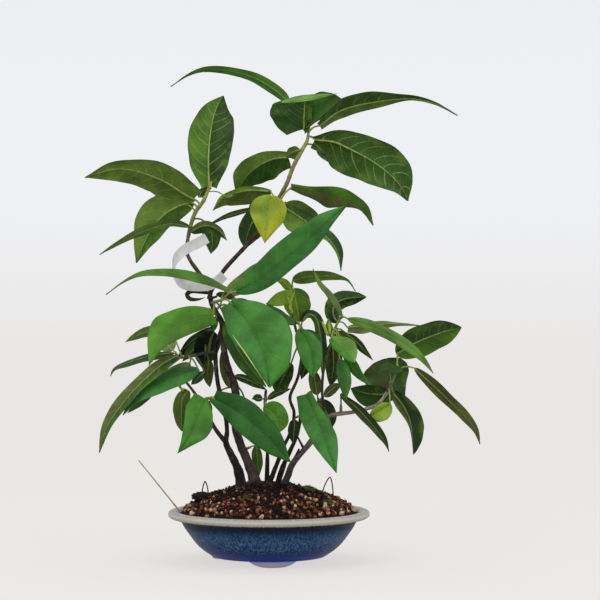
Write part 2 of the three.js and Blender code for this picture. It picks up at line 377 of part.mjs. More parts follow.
// Makes a closed solid of the library from vertices and triangles
function solid(points, triangles) {
  const vertProperties = new Float32Array(points.flatMap((p) => [p.x, p.y, p.z]));
  return new wasm.Manifold(new wasm.Mesh({ numProp: 3, vertProperties, triVerts: new Uint32Array(triangles) }));
}

// Makes a solid from a three.js geometry, with its shared vertices merged
function solidOf(geometry) {
  const plain = geometry.clone();
  plain.deleteAttribute("normal");
  plain.deleteAttribute("uv");
  const merged = mergeVertices(plain.index ? plain.toNonIndexed() : plain, 1e-4);
  return new wasm.Manifold(new wasm.Mesh({
    numProp: 3,
    vertProperties: new Float32Array(merged.attributes.position.array),
    triVerts: new Uint32Array(merged.index.array),
  }));
}

function join(solids) {
  return solids.reduce((all, one) => all.add(one));
}

// The biggest body of a cut solid, without the crumbs that the cut left
function mainBody(made) {
  return made.decompose().reduce((most, part) => (part.volume() > most.volume() ? part : most));
}

const CURVE_DIVISIONS = 12;

// Evenly spaced samples of a smooth curve through points of the front view, and of what follows each point
function smooth(rows, count) {
  const curve = new THREE.CatmullRomCurve3(rows.map((r) => new THREE.Vector3(r[0], r[1], r[2])));
  curve.curveType = "centripetal";
  const lengths = curve.getLengths(rows.length * CURVE_DIVISIONS);
  const total = lengths[lengths.length - 1];
  const ends = rows.map((_, i) => lengths[Math.round((i / (rows.length - 1)) * (lengths.length - 1))] / total);
  return Array.from({ length: count }, (_, i) => {
    const share = i / (count - 1);
    const place = curve.getPointAt(share);
    let k = 0;
    while (k < ends.length - 2 && share > ends[k + 1]) k += 1;
    const part = Math.min(1, Math.max(0, (share - ends[k]) / (ends[k + 1] - ends[k])));
    const more = rows[k].slice(3).map((value, j) => THREE.MathUtils.lerp(value, rows[k + 1][3 + j], part));
    return [place.x, place.y, place.z, ...more];
  });
}

// A closed solid through rings of points that follow each other, its ends closed by flat fans
function ringSolid(rings) {
  const size = rings[0].length;
  const triangles = [];
  for (let i = 0; i < rings.length - 1; i += 1) {
    for (let k = 0; k < size; k += 1) {
      const a = i * size + k;
      const b = i * size + ((k + 1) % size);
      triangles.push(a, b, b + size, a, b + size, a + size);
    }
  }
  const last = (rings.length - 1) * size;
  for (let k = 1; k < size - 1; k += 1) {
    triangles.push(0, k + 1, k, last, last + k, last + k + 1);
  }
  return solid(rings.flat(), triangles);
}

// The turns of so many points that stand evenly round a circle
function turnsOf(sides) {
  return Array.from({ length: sides }, (_, k) => (2 * Math.PI * k) / sides);
}

const NEARLY_UPRIGHT = 0.9;

// A round rod along points in space, its radius given at each
function rod(points, radii, sides) {
  let across = null;
  return ringSolid(points.map((point, i) => {
    const before = points[Math.max(i - 1, 0)];
    const after = points[Math.min(i + 1, points.length - 1)];
    const along = after.clone().sub(before).normalize();
    const upright = Math.abs(along.z) > NEARLY_UPRIGHT;
    const start = across ?? (upright ? new THREE.Vector3(1, 0, 0) : new THREE.Vector3(0, 0, 1));
    across = start.clone().addScaledVector(along, -start.dot(along)).normalize();
    const up = new THREE.Vector3().crossVectors(along, across);
    return turnsOf(sides).map((turn) => point.clone()
      .addScaledVector(across, radii[i] * Math.cos(turn))
      .addScaledVector(up, radii[i] * Math.sin(turn)));
  }));
}

// A rod through points of the front view
function drawnRod(rows, steps, sides, more = 0) {
  const samples = smooth(rows, steps);
  return rod(samples.map((s) => seen(s)), samples.map((s) => s[3] + more), sides);
}

// A thin sheet on a grid of points, the same triangles on both faces
function sheet(grid, thickness) {
  const rows = grid.length;
  const columns = grid[0].length;
  const at = (i, j) => grid[Math.min(rows - 1, Math.max(0, i))][Math.min(columns - 1, Math.max(0, j))];
  const upper = [];
  const lower = [];
  for (let i = 0; i < rows; i += 1) {
    for (let j = 0; j < columns; j += 1) {
      const along = at(i + 1, j).clone().sub(at(i - 1, j));
      const across = at(i, j + 1).clone().sub(at(i, j - 1));
      const normal = across.cross(along).normalize();
      upper.push(at(i, j).clone().addScaledVector(normal, thickness / 2));
      lower.push(at(i, j).clone().addScaledVector(normal, -thickness / 2));
    }
  }
  const shift = rows * columns;
  const triangles = [];
  const quad = (a, b, c, d) => triangles.push(a, b, c, a, c, d);
  for (let i = 0; i < rows - 1; i += 1) {
    for (let j = 0; j < columns - 1; j += 1) {
      const a = i * columns + j;
      const b = a + 1;
      const c = b + columns;
      const d = a + columns;
      quad(a, b, c, d);
      quad(shift + a, shift + d, shift + c, shift + b);
    }
  }
  const edge = [];
  for (let j = 0; j < columns - 1; j += 1) edge.push(j);
  for (let i = 0; i < rows - 1; i += 1) edge.push(i * columns + columns - 1);
  for (let j = columns - 1; j > 0; j -= 1) edge.push((rows - 1) * columns + j);
  for (let i = rows - 1; i > 0; i -= 1) edge.push(i * columns);
  edge.forEach((a, k) => {
    const b = edge[(k + 1) % edge.length];
    quad(b, a, shift + a, shift + b);
  });
  return solid([...upper, ...lower], triangles);
}

const BASE_POWER = 2.8;
const BASE_ROUNDNESS = 0.56;
const END_POWER = 1.9;
const END_POWER_CHANGE = 0.9;
const END_ROUNDNESS = 1.05;
const END_ROUNDNESS_CHANGE = 0.6;

// Share of a blade's full width at a share of its length: a round base, a widest place and a drawn-out tip
function outline(share, widest, end) {
  if (share < widest) return (1 - (1 - share / widest) ** BASE_POWER) ** BASE_ROUNDNESS;
  const beyond = (share - widest) / (1 - widest);
  return (1 - beyond ** (END_POWER / end ** END_POWER_CHANGE)) ** (END_ROUNDNESS * end ** END_ROUNDNESS_CHANGE);
}

// The same from the widest place and the end of one half, or from its list of widths
function widthAt(share, shape, end) {
  if (!Array.isArray(shape)) return outline(share, shape, end);
  const at = share * (shape.length - 1);
  const k = Math.min(Math.floor(at), shape.length - 2);
  return THREE.MathUtils.lerp(shape[k], shape[k + 1], at - k);
}

// What stands for both halves of a leaf, as two
function pair(value) {
  return Array.isArray(value) ? value : [value, value];
}

const LOBE_SHARE = 0.14;
const LOBE_REACH = 0.2;
const LEAST_HALF_WIDTH = 0.7;

// Grid of points of a blade, with so many strips on each side of the midrib
function bladeGrid([, , , rib, halves, turns, widest, end], stations, strips) {
  const line = smooth(rib, stations);
  const shapes = pair(widest);
  const ends = pair(end);
  return line.map(([across, down, depth], i) => {
    const before = line[Math.max(i - 1, 0)];
    const after = line[Math.min(i + 1, stations - 1)];
    const length = Math.hypot(after[0] - before[0], after[1] - before[1]) || 1;
    const along = [(after[0] - before[0]) / length, (after[1] - before[1]) / length];
    const share = i / (stations - 1);
    const lobe = LOBE_SHARE * Math.max(...halves) * Math.max(0, 1 - share / LOBE_REACH);
    const points = [];
    for (let j = -strips; j <= strips; j += 1) {
      const k = j < 0 ? 0 : 1;
      const side = j < 0 ? 1 : -1;
      const part = Math.abs(j) / strips;
      const turn = THREE.MathUtils.degToRad(turns[k]);
      const width = halves[k] * widthAt(share, shapes[k], ends[k]);
      const reach = part * Math.max(width, LEAST_HALF_WIDTH * Math.cos(turn));
      points.push(seen([
        across + side * along[1] * reach - along[0] * lobe * part,
        down - side * along[0] * reach - along[1] * lobe * part,
        depth + reach * Math.tan(turn),
      ]));
    }
    return points;
  });
}

// The place on a twig's middle line nearest to a point
function nearest(points, target) {
  return points.reduce((best, p) => (p.distanceTo(target) < best.distanceTo(target) ? p : best));
}

const WIDE_BLADE = 26;
const FEWEST_STATIONS = 6;
const MOST_STATIONS = 8;
const PETIOLE_SIDES = 4;
const PETIOLE_TAPER = [1, 0.9, 0.8];
const PETIOLE_SINK = 1.6;
const PETIOLE_ARCH = 0.12;
const TWIG_SIDES = 6;
const TWIG_DETAIL = 3;

// A leaf with its petiole, sunk in its twig at one end and in the blade at the other
function leaf(row, twigLine) {
  const [, , , rib, [left, right]] = row;
  const strips = left + right > WIDE_BLADE ? 2 : 1;
  const stations = THREE.MathUtils.clamp(rib.length + strips, FEWEST_STATIONS, MOST_STATIONS);
  const grid = bladeGrid(row, stations, strips);
  const base = grid[0][strips];
  const inside = base.clone().add(grid[1][strips].clone().sub(base).setLength(PETIOLE_SINK));
  const root = nearest(twigLine, base);
  const bend = root.clone().lerp(base, 0.5);
  bend.z += PETIOLE_ARCH * root.distanceTo(base);
  const radii = PETIOLE_TAPER.map((share) => share * PETIOLE_RADIUS);
  return join([sheet(grid, BLADE_THICKNESS), rod([root, bend, inside], radii, PETIOLE_SIDES)]);
}

// Pot turned about its axis, then its three low feet
function pot() {
  const profile = [
    [DRAIN_RADIUS, FOOT_HEIGHT],
    [BASE_RADIUS, FOOT_HEIGHT],
    ...OUTER_WALL,
    ...LIP.map(([r, z]) => [RIM_RADIUS + r, POT_HEIGHT + z]),
    ...INNER_WALL,
    [DRAIN_RADIUS, FLOOR_TOP],
    [DRAIN_RADIUS, FOOT_HEIGHT],
  ];
  const shape = profile.map(([r, z]) => new THREE.Vector2(r, z));
  const body = solidOf(new THREE.LatheGeometry(shape, POT_SIDES).rotateX(Math.PI / 2));
  return join([body, ...FOOT_TURNS.map(foot)]);
}

// One low foot: a sector of a ring under the base
function foot(middle) {
  const levels = [[FOOT_HEIGHT + FOOT_SINK, 0], [SOLE_HEIGHT, 0], [0, SOLE_LESS]];
  const section = [
    ...levels.map(([z, less]) => [FOOT_OUTER - less, z, less]),
    ...levels.toReversed().map(([z, less]) => [FOOT_INNER + less, z, less]),
  ];
  return ringSolid(Array.from({ length: FOOT_STEPS + 1 }, (_, i) => section.map(([r, z, less]) => {
    const spread = FOOT_SPREAD - less / FOOT_OUTER;
    const turn = middle + spread * ((2 * i) / FOOT_STEPS - 1);
    return new THREE.Vector3(r * Math.cos(turn), r * Math.sin(turn), z);
  })));
}

// Height of the soil mound, with clods as relief by formula
function soilHeight(radius, turn) {
  const x = radius * Math.cos(turn);
  const y = radius * Math.sin(turn);
  const mound = SOIL_EDGE_Z + SOIL_RISE * (1 - (radius / SOIL_RADIUS) ** 2) ** SOIL_ROUNDNESS;
  const waves = CLODS.map(([height, across, deep, phase]) => height * Math.sin(across * x + deep * y + phase));
  const relief = waves.reduce((sum, wave) => sum + wave);
  return mound + relief * Math.min(1, (SOIL_RADIUS - radius) / CLOD_FADE);
}

// Soil filling the pot, its top a mound and its underside clear of the pot's inner face
function soil() {
  const floor = FLOOR_TOP + SOIL_TO_FLOOR;
  const points = [new THREE.Vector3(0, 0, soilHeight(0, 0))];
  const loops = [
    ...SOIL_RINGS.map((r) => (turn) => [r, soilHeight(r, turn)]),
    ...INNER_WALL.map(([r, z]) => () => [r - SOIL_TO_WALL, Math.max(z, floor)]),
  ];
  loops.forEach((loop) => turnsOf(POT_SIDES).forEach((turn) => {
    const [r, z] = loop(turn);
    points.push(new THREE.Vector3(r * Math.cos(turn), r * Math.sin(turn), z));
  }));
  points.push(new THREE.Vector3(0, 0, floor));
  const triangles = [];
  for (let k = 0; k < POT_SIDES; k += 1) {
    const next = (k + 1) % POT_SIDES;
    triangles.push(0, 1 + k, 1 + next);
    for (let i = 0; i < loops.length - 1; i += 1) {
      const a = 1 + i * POT_SIDES;
      const b = a + POT_SIDES;
      triangles.push(a + k, b + k, b + next, a + k, b + next, a + next);
    }
    const last = 1 + (loops.length - 1) * POT_SIDES;
    triangles.push(points.length - 1, last + next, last + k);
  }
  return solid(points, triangles);
}

// An upright oval solid round the crown's middle: heights with the share of its full width at each
function crownSolid(levels, more) {
  const centre = seen(CROWN_CENTRE);
  return ringSolid(levels.map(([z, share]) => turnsOf(CROWN_SIDES).map((turn) => new THREE.Vector3(
    centre.x + (CROWN_HALF_WIDTH + more) * share * Math.cos(turn),
    centre.y + (CROWN_HALF_DEPTH + more) * share * Math.sin(turn),
    z,
  ))));
}

// What the hole for the crown is cut with
function crownHole() {
  return crownSolid([[CROWN_LEVELS[0][0] - SEAT_GAP, 1], [ABOVE_SOIL, 1]], SEAT_GAP);
}

// All the woody stems, or the same a little thicker, for what has to stay clear of them
function stems(more = 0) {
  const rods = STEMS.map(([, rows]) => {
    const steps = Math.max(3, Math.round(rows.length * STEM_DETAIL));
    return drawnRod(rows, steps, STEM_SIDES, more);
  });
  return join(more ? rods : [crownSolid(CROWN_LEVELS, 0), ...rods]);
}

// One spray: its twig with its leaves, clear of the wood on which it is seated
function spray(name, aroundWood) {
  const rows = TWIGS[name];
  // Petioles spring from the twig beyond its foot
  const line = smooth(rows, rows.length * TWIG_DETAIL).slice(2).map((s) => seen(s));
  const twig = drawnRod(rows, rows.length, TWIG_SIDES);
  const leaves = LEAVES.filter((row) => row[1] === name).map((row) => leaf(row, line));
  return mainBody(join([twig, ...leaves]).subtract(aroundWood));
}

function label() {
  const line = smooth(LABEL, LABEL_STATIONS);
  const grid = line.map(([across, down, depth, turn], i) => {
    const before = line[Math.max(i - 1, 0)];
    const after = line[Math.min(i + 1, line.length - 1)];
    const length = Math.hypot(after[0] - before[0], after[1] - before[1]) || 1;
    const flat = Math.cos(THREE.MathUtils.degToRad(turn));
    const deep = Math.sin(THREE.MathUtils.degToRad(turn));
    return [-1, 0, 1].map((side) => seen([
      across - (side * flat * LABEL_WIDTH * (after[1] - before[1])) / length / 2,
      down + (side * flat * LABEL_WIDTH * (after[0] - before[0])) / length / 2,
      depth + (side * deep * LABEL_WIDTH) / 2,
    ]));
  });
  return sheet(grid, LABEL_THICKNESS);
}

function pin(rows, more = 0) {
  return drawnRod(rows.map((row) => [...row, PIN_RADIUS + more]), PIN_STATIONS, WIRE_SIDES);
}

function straw(more = 0) {
  return drawnRod(STRAW.map((row) => [...row, STRAW_RADIUS + more]), STRAW_STATIONS, WIRE_SIDES);
}

const materials = {
  glaze: new THREE.MeshStandardMaterial({ name: "glaze", color: "#3f5f86", roughness: 0.3 }),
  soil: new THREE.MeshStandardMaterial({ name: "soil", color: "#7a4a33", roughness: 0.95 }),
  bark: new THREE.MeshStandardMaterial({ name: "bark", color: "#3b2f2b", roughness: 0.85 }),
  leaf: new THREE.MeshStandardMaterial({ name: "leaf", color: "#3c7a2c", roughness: 0.5 }),
  yellow_leaf: new THREE.MeshStandardMaterial({ name: "yellow_leaf", color: "#93a31c", roughness: 0.5 }),
  dead_leaf: new THREE.MeshStandardMaterial({ name: "dead_leaf", color: "#33301f", roughness: 0.9 }),
  label: new THREE.MeshStandardMaterial({ name: "label", color: "#dcdcdc", roughness: 0.4 }),
  wire: new THREE.MeshStandardMaterial({ name: "wire", color: "#4a3c38", metalness: 0.6, roughness: 0.5 }),
  straw: new THREE.MeshStandardMaterial({ name: "straw", color: "#c9b48c", roughness: 0.8 }),
};

function meshOf(made, name, material) {
  const mesh = made.getMesh();
  const geometry = new THREE.BufferGeometry();
  geometry.setAttribute("position", new THREE.BufferAttribute(new Float32Array(mesh.vertProperties), 3));
  geometry.setIndex(new THREE.BufferAttribute(new Uint32Array(mesh.triVerts), 1));
  geometry.computeVertexNormals();
  const piece = new THREE.Mesh(geometry, material);
  piece.name = name;
  return piece;
}

const group = new THREE.Group();
const aroundWood = stems(SEAT_GAP);
const stood = [
  crownHole(),
  aroundWood,
  straw(SEAT_GAP),
  ...Object.values(PINS).map((rows) => pin(rows, SEAT_GAP)),
];
group.add(meshOf(pot(), "pot", materials.glaze));
group.add(meshOf(mainBody(soil().subtract(join(stood))), "soil", materials.soil));
group.add(meshOf(stems(), "stems", materials.bark));
Object.keys(TWIGS).forEach((name) => {
  const material = { yellow: materials.yellow_leaf, dead: materials.dead_leaf }[name] ?? materials.leaf;
  group.add(meshOf(spray(name, aroundWood), `spray_${name}`, material));
});
group.add(meshOf(mainBody(label().subtract(aroundWood)), "label_strip", materials.label));
Object.entries(PINS).forEach(([name, rows]) => group.add(meshOf(pin(rows), name, materials.wire)));
group.add(meshOf(straw(), "straw", materials.straw));

// The frame's origin is under the middle of the whole object's box
const box = new THREE.Box3().setFromObject(group);
const middle = box.getCenter(new THREE.Vector3());
group.children.forEach((piece) => piece.geometry.translate(-middle.x, -middle.y, -box.min.z));

export default group;
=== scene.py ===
import math
import random
from collections import namedtuple

import bpy
import numpy as np
from mathutils import Euler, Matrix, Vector, noise


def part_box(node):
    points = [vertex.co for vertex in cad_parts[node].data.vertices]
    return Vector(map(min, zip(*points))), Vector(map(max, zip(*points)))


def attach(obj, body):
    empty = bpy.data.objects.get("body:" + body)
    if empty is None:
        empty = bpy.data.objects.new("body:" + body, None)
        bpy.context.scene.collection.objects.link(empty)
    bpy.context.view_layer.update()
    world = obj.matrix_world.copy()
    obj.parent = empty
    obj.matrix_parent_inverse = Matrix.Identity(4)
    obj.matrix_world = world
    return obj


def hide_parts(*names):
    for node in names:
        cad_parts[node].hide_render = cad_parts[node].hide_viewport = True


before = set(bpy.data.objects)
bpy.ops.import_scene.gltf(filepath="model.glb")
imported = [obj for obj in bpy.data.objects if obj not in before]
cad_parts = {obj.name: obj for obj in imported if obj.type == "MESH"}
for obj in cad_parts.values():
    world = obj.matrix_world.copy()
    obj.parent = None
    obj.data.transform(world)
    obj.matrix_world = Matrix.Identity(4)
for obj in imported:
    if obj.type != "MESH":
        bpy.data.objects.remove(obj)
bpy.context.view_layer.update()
bpy.ops.object.select_all(action="DESELECT")

BODY = "root"
MM = 0.001
draw = random.Random(11)

# The pot's axis in the frame, and the front view: it is drawn in millimetres from its upper left corner,
# the pot's axis and foot plane lie there at these places, and the eye stands in front of them
pot_low, pot_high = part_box("pot")
AXIS = Vector(((pot_low.x + pot_high.x) / 2, (pot_low.y + pot_high.y) / 2, 0))
AXIS_ACROSS = 269
FOOT_DOWN = 561
EYE_X = 31
EYE_Z = 261
EYE_AWAY = 1618
CAMERA_AWAY = 2100
VIEW_WIDTH = 600

# Driving dimensions of the pot and the soil, as the solids have them
POT_HEIGHT = 51
RIM_RADIUS = 101
LIP_WIDTH = 11
LIP_DEPTH = 7
BASE_RADIUS = 56
FOOT_HEIGHT = 5.5
WALL = 5
FLOOR_TOP = 11.5
FOOT_SPREAD = 24
DRAIN_RADIUS = 7
SOIL_EDGE_Z = 45.5
SOIL_RISE = 31
SOIL_RADIUS = 92
CROWN_PLACE = [262, 487, 2]
CROWN_MIDDLE = 71.5
CROWN_REACH = [25, 12.5, 8.5]

# Driving dimensions of the plant
BLADE_THICKNESS = 0.5
PETIOLE_RADIUS = 1.15
LOBE_SHARE = 0.14
LOBE_REACH = 0.2
TIP_HALF_WIDTH = 0.3
LABEL_WIDTH = 10.5
LABEL_THICKNESS = 0.5
PIN_RADIUS = 0.6
STRAW_RADIUS = 0.8

# Relief of a blade: its arch and its margin's droop and wave as shares of the half width, and in mm the
# swelling between side veins and the dip or ridge of the midrib
ARCH = 0.2
DROOP = 0.045
MARGIN_WAVE = 0.08
VEIN_SWELL = 0.256
MIDRIB_DIP = 0.14
MIDRIB_RIDGE = 0.45

# Woody stems: points of the front view with a depth and a radius
STEMS = [
  ["left trunk", [[241, 494, -5, 8], [241, 486, -5, 6], [238, 470, -7, 4.4], [231, 455, -8, 3.6],
    [226, 443, -7, 3], [227, 431, -5, 2.2], [225, 414, -2, 2.2], [219, 389, 2, 2.2],
    [216, 366, 5, 2.2], [216, 347, 6, 2.2], [221, 332, 5, 2.4], [223, 322, 3, 2.4]]],
  ["left branch", [[227, 444, -7, 2.6], [216, 430, -2, 2], [206, 412, 4, 1.7], [197, 396, 9, 1.6],
    [184, 379, 13, 1.2]]],
  ["main trunk", [[256, 494, 4, 9], [256, 485, 4, 6.6], [248, 462, 5, 4.6], [241, 445, 5, 4.2],
    [236, 429, 4, 4.1], [236, 398, 3, 4], [233, 381, 2, 3.7], [228, 368, 1, 3.5], [224, 350, 1, 3.3],
    [223, 330, 1, 3], [221, 320, 1, 2.8], [214, 309, 0, 2.6], [210, 297, 0, 2.5], [211, 290, 0, 2.4]]],
  ["left leader", [[211, 291, 0, 2.2], [199.5, 273.5, 1, 2], [190, 260, 2, 1.9], [186.5, 250, 3, 1.8],
    [188, 238, 3, 1.7]]],
  ["right leader", [[211, 291, 0, 2.3], [219, 277, -2, 2.2], [231, 262, -3, 2.2], [244, 248, -3, 2.2],
    [257, 234, -3, 2.1], [268, 216, -3, 2.1], [279, 198, -3, 2]]],
  ["back stem", [[267, 494, 10, 5], [267, 482, 10, 2.6], [267.5, 456, 12, 1.9], [268, 430, 14, 1.7],
    [265, 404, 15, 1.5], [266, 390, 15, 1.3]]],
  ["middle stem", [[268, 494, 2, 5], [269, 484, 2, 3], [273, 474, 3, 2.4], [278, 461, 5, 2.2],
    [284, 446, 8, 1.9], [292, 428, 10, 1.7], [294, 412, 10, 1.6], [290, 398, 9, 1.6], [298, 377, 8, 1.5],
    [302, 352, 5, 1.5], [302, 334, 2, 1.5]]],
  ["fifth stem", [[278, 494, 8, 6], [278, 484, 8, 3.2], [284, 464, 8, 2.5], [290, 451, 6, 2.2],
    [295, 440, 3, 1.9], [299, 427, 0, 1.7], [301, 410, -3, 1.5]]],
  ["right trunk", [[283, 496, -4, 7], [283, 487, -4, 4], [287, 478, -4, 3.4], [292, 465, -4, 3.2],
    [299.5, 455, -4, 3], [310, 443, -3, 2.7], [319, 429, -2, 2.4], [328, 417, -2, 2.2],
    [353, 412, -1, 1.9], [366, 409, 0, 1.9], [378, 404, 0, 1.8], [388, 391, 0, 1.6]]],
  ["upright twig", [[319, 429, -2, 1.8], [324, 412, 2, 1.5], [322, 391, 4, 1.4], [324, 368, 3, 1.4],
    [329, 350, 0, 1.4], [334, 330, -2, 1.3]]],
  ["crossing twig", [[302, 347, 4.6, 1.4], [296, 330, 3, 1.3], [291, 308, 2, 1.2]]],
  ["bare twig", [[295, 458, -4, 1.5], [299, 449, -7, 0.9]]],
  ["second bare twig", [[304, 449, -4, 1.4], [297, 436, -7, 0.8]]],
]

# Twigs of the leafy sprays, drawn the same way
TWIGS = {
  "upper_left": [[188.03, 237.7, 3, 1.9], [190.3, 227, 4, 2], [195.3, 212.5, 4, 2], [204, 200, 3, 1.9],
    [209, 188, 1, 1.3]],
  "top_right": [[279.14, 197.74, -3, 2.1], [287, 183, -2, 2.1], [293, 167, 0, 2.1], [302, 150, 2, 2.1],
    [307, 141, 2, 1.8], [308.5, 132, 0, 1.2]],
  "right_stem": [[277.4, 206.6, 10, 1.4], [277.6, 206.6, -3, 1.7], [278, 204, -12, 1.2]],
  "yellow": [[276, 203, -4, 1.2], [275, 200, -12, 1.1]],
  "middle": [[212, 303, -1, 1.7], [214.5, 302, -9, 1.6], [221, 300, -15, 1.4]],
  "left": [[215, 352, 5.5, 1.7], [205, 353, 11, 1.5], [192, 356, 8, 1.4], [179, 358, 2, 1.1]],
  "left_branch": [[184, 379.5, 13, 1.3], [180, 386, 14, 1.2], [182, 389, 12, 1.1]],
  "middle_back": [[215, 310, 1, 1.7], [217, 309, 8, 1.5], [220, 306, 13, 1.2]],
  "low_left": [[222, 403, -1, 1.7], [215, 401, -10, 1.5], [209, 398.5, -14, 1.3]],
  "centre_back": [[233, 377, 3, 1.7], [235, 379, 11, 1.5], [238, 386, 16, 1.2]],
  "centre_small": [[266, 396, 14, 1.3], [265.5, 402, 7, 1.1]],
  "centre_low": [[301, 412, -3, 1.6], [302, 404, -9, 1.4], [304, 398, -17, 1.2]],
  "centre_upper": [[291, 309, 2, 1.4], [290, 299, 1, 1.3], [291.5, 290, 2, 1.1]],
  "centre_top": [[302, 336, 2, 1.6], [301.5, 328, -2, 1.4], [299, 324, -6, 1.1]],
  "centre_rear": [[302, 342, 4, 1.7], [302, 340, 11, 1.5], [303, 337, 15, 1.2]],
  "low_rear": [[301, 412, -1.5, 1.7], [303, 408, 8, 1.4], [305, 406, 16, 1.2]],
  "right_top": [[334, 332, -2, 1.5], [337, 324, -3, 1.3], [340.5, 318.5, -3, 1.1]],
  "right_end": [[387.5, 392, 0, 1.7], [391, 384, -3, 1.5], [394, 377, -6, 1.3], [397, 370, -9, 1.1]],
  "right_low": [[341, 414, -1, 1.6], [341, 406, -6, 1.3]],
  "inner_right": [[322.5, 401, 4, 1.4], [318, 399, 10, 1.1]],
  "inner_low": [[300.4, 416, -2.5, 1.5], [297, 417, -6, 1.1]],
  "low_back": [[243, 450, 6, 1.6], [250, 447, 14, 1.3]],
  "dead": [[207, 297.5, 4, 1.3], [212, 298, 4.2, 1.5], [217, 296.5, 5, 1.2]],
}

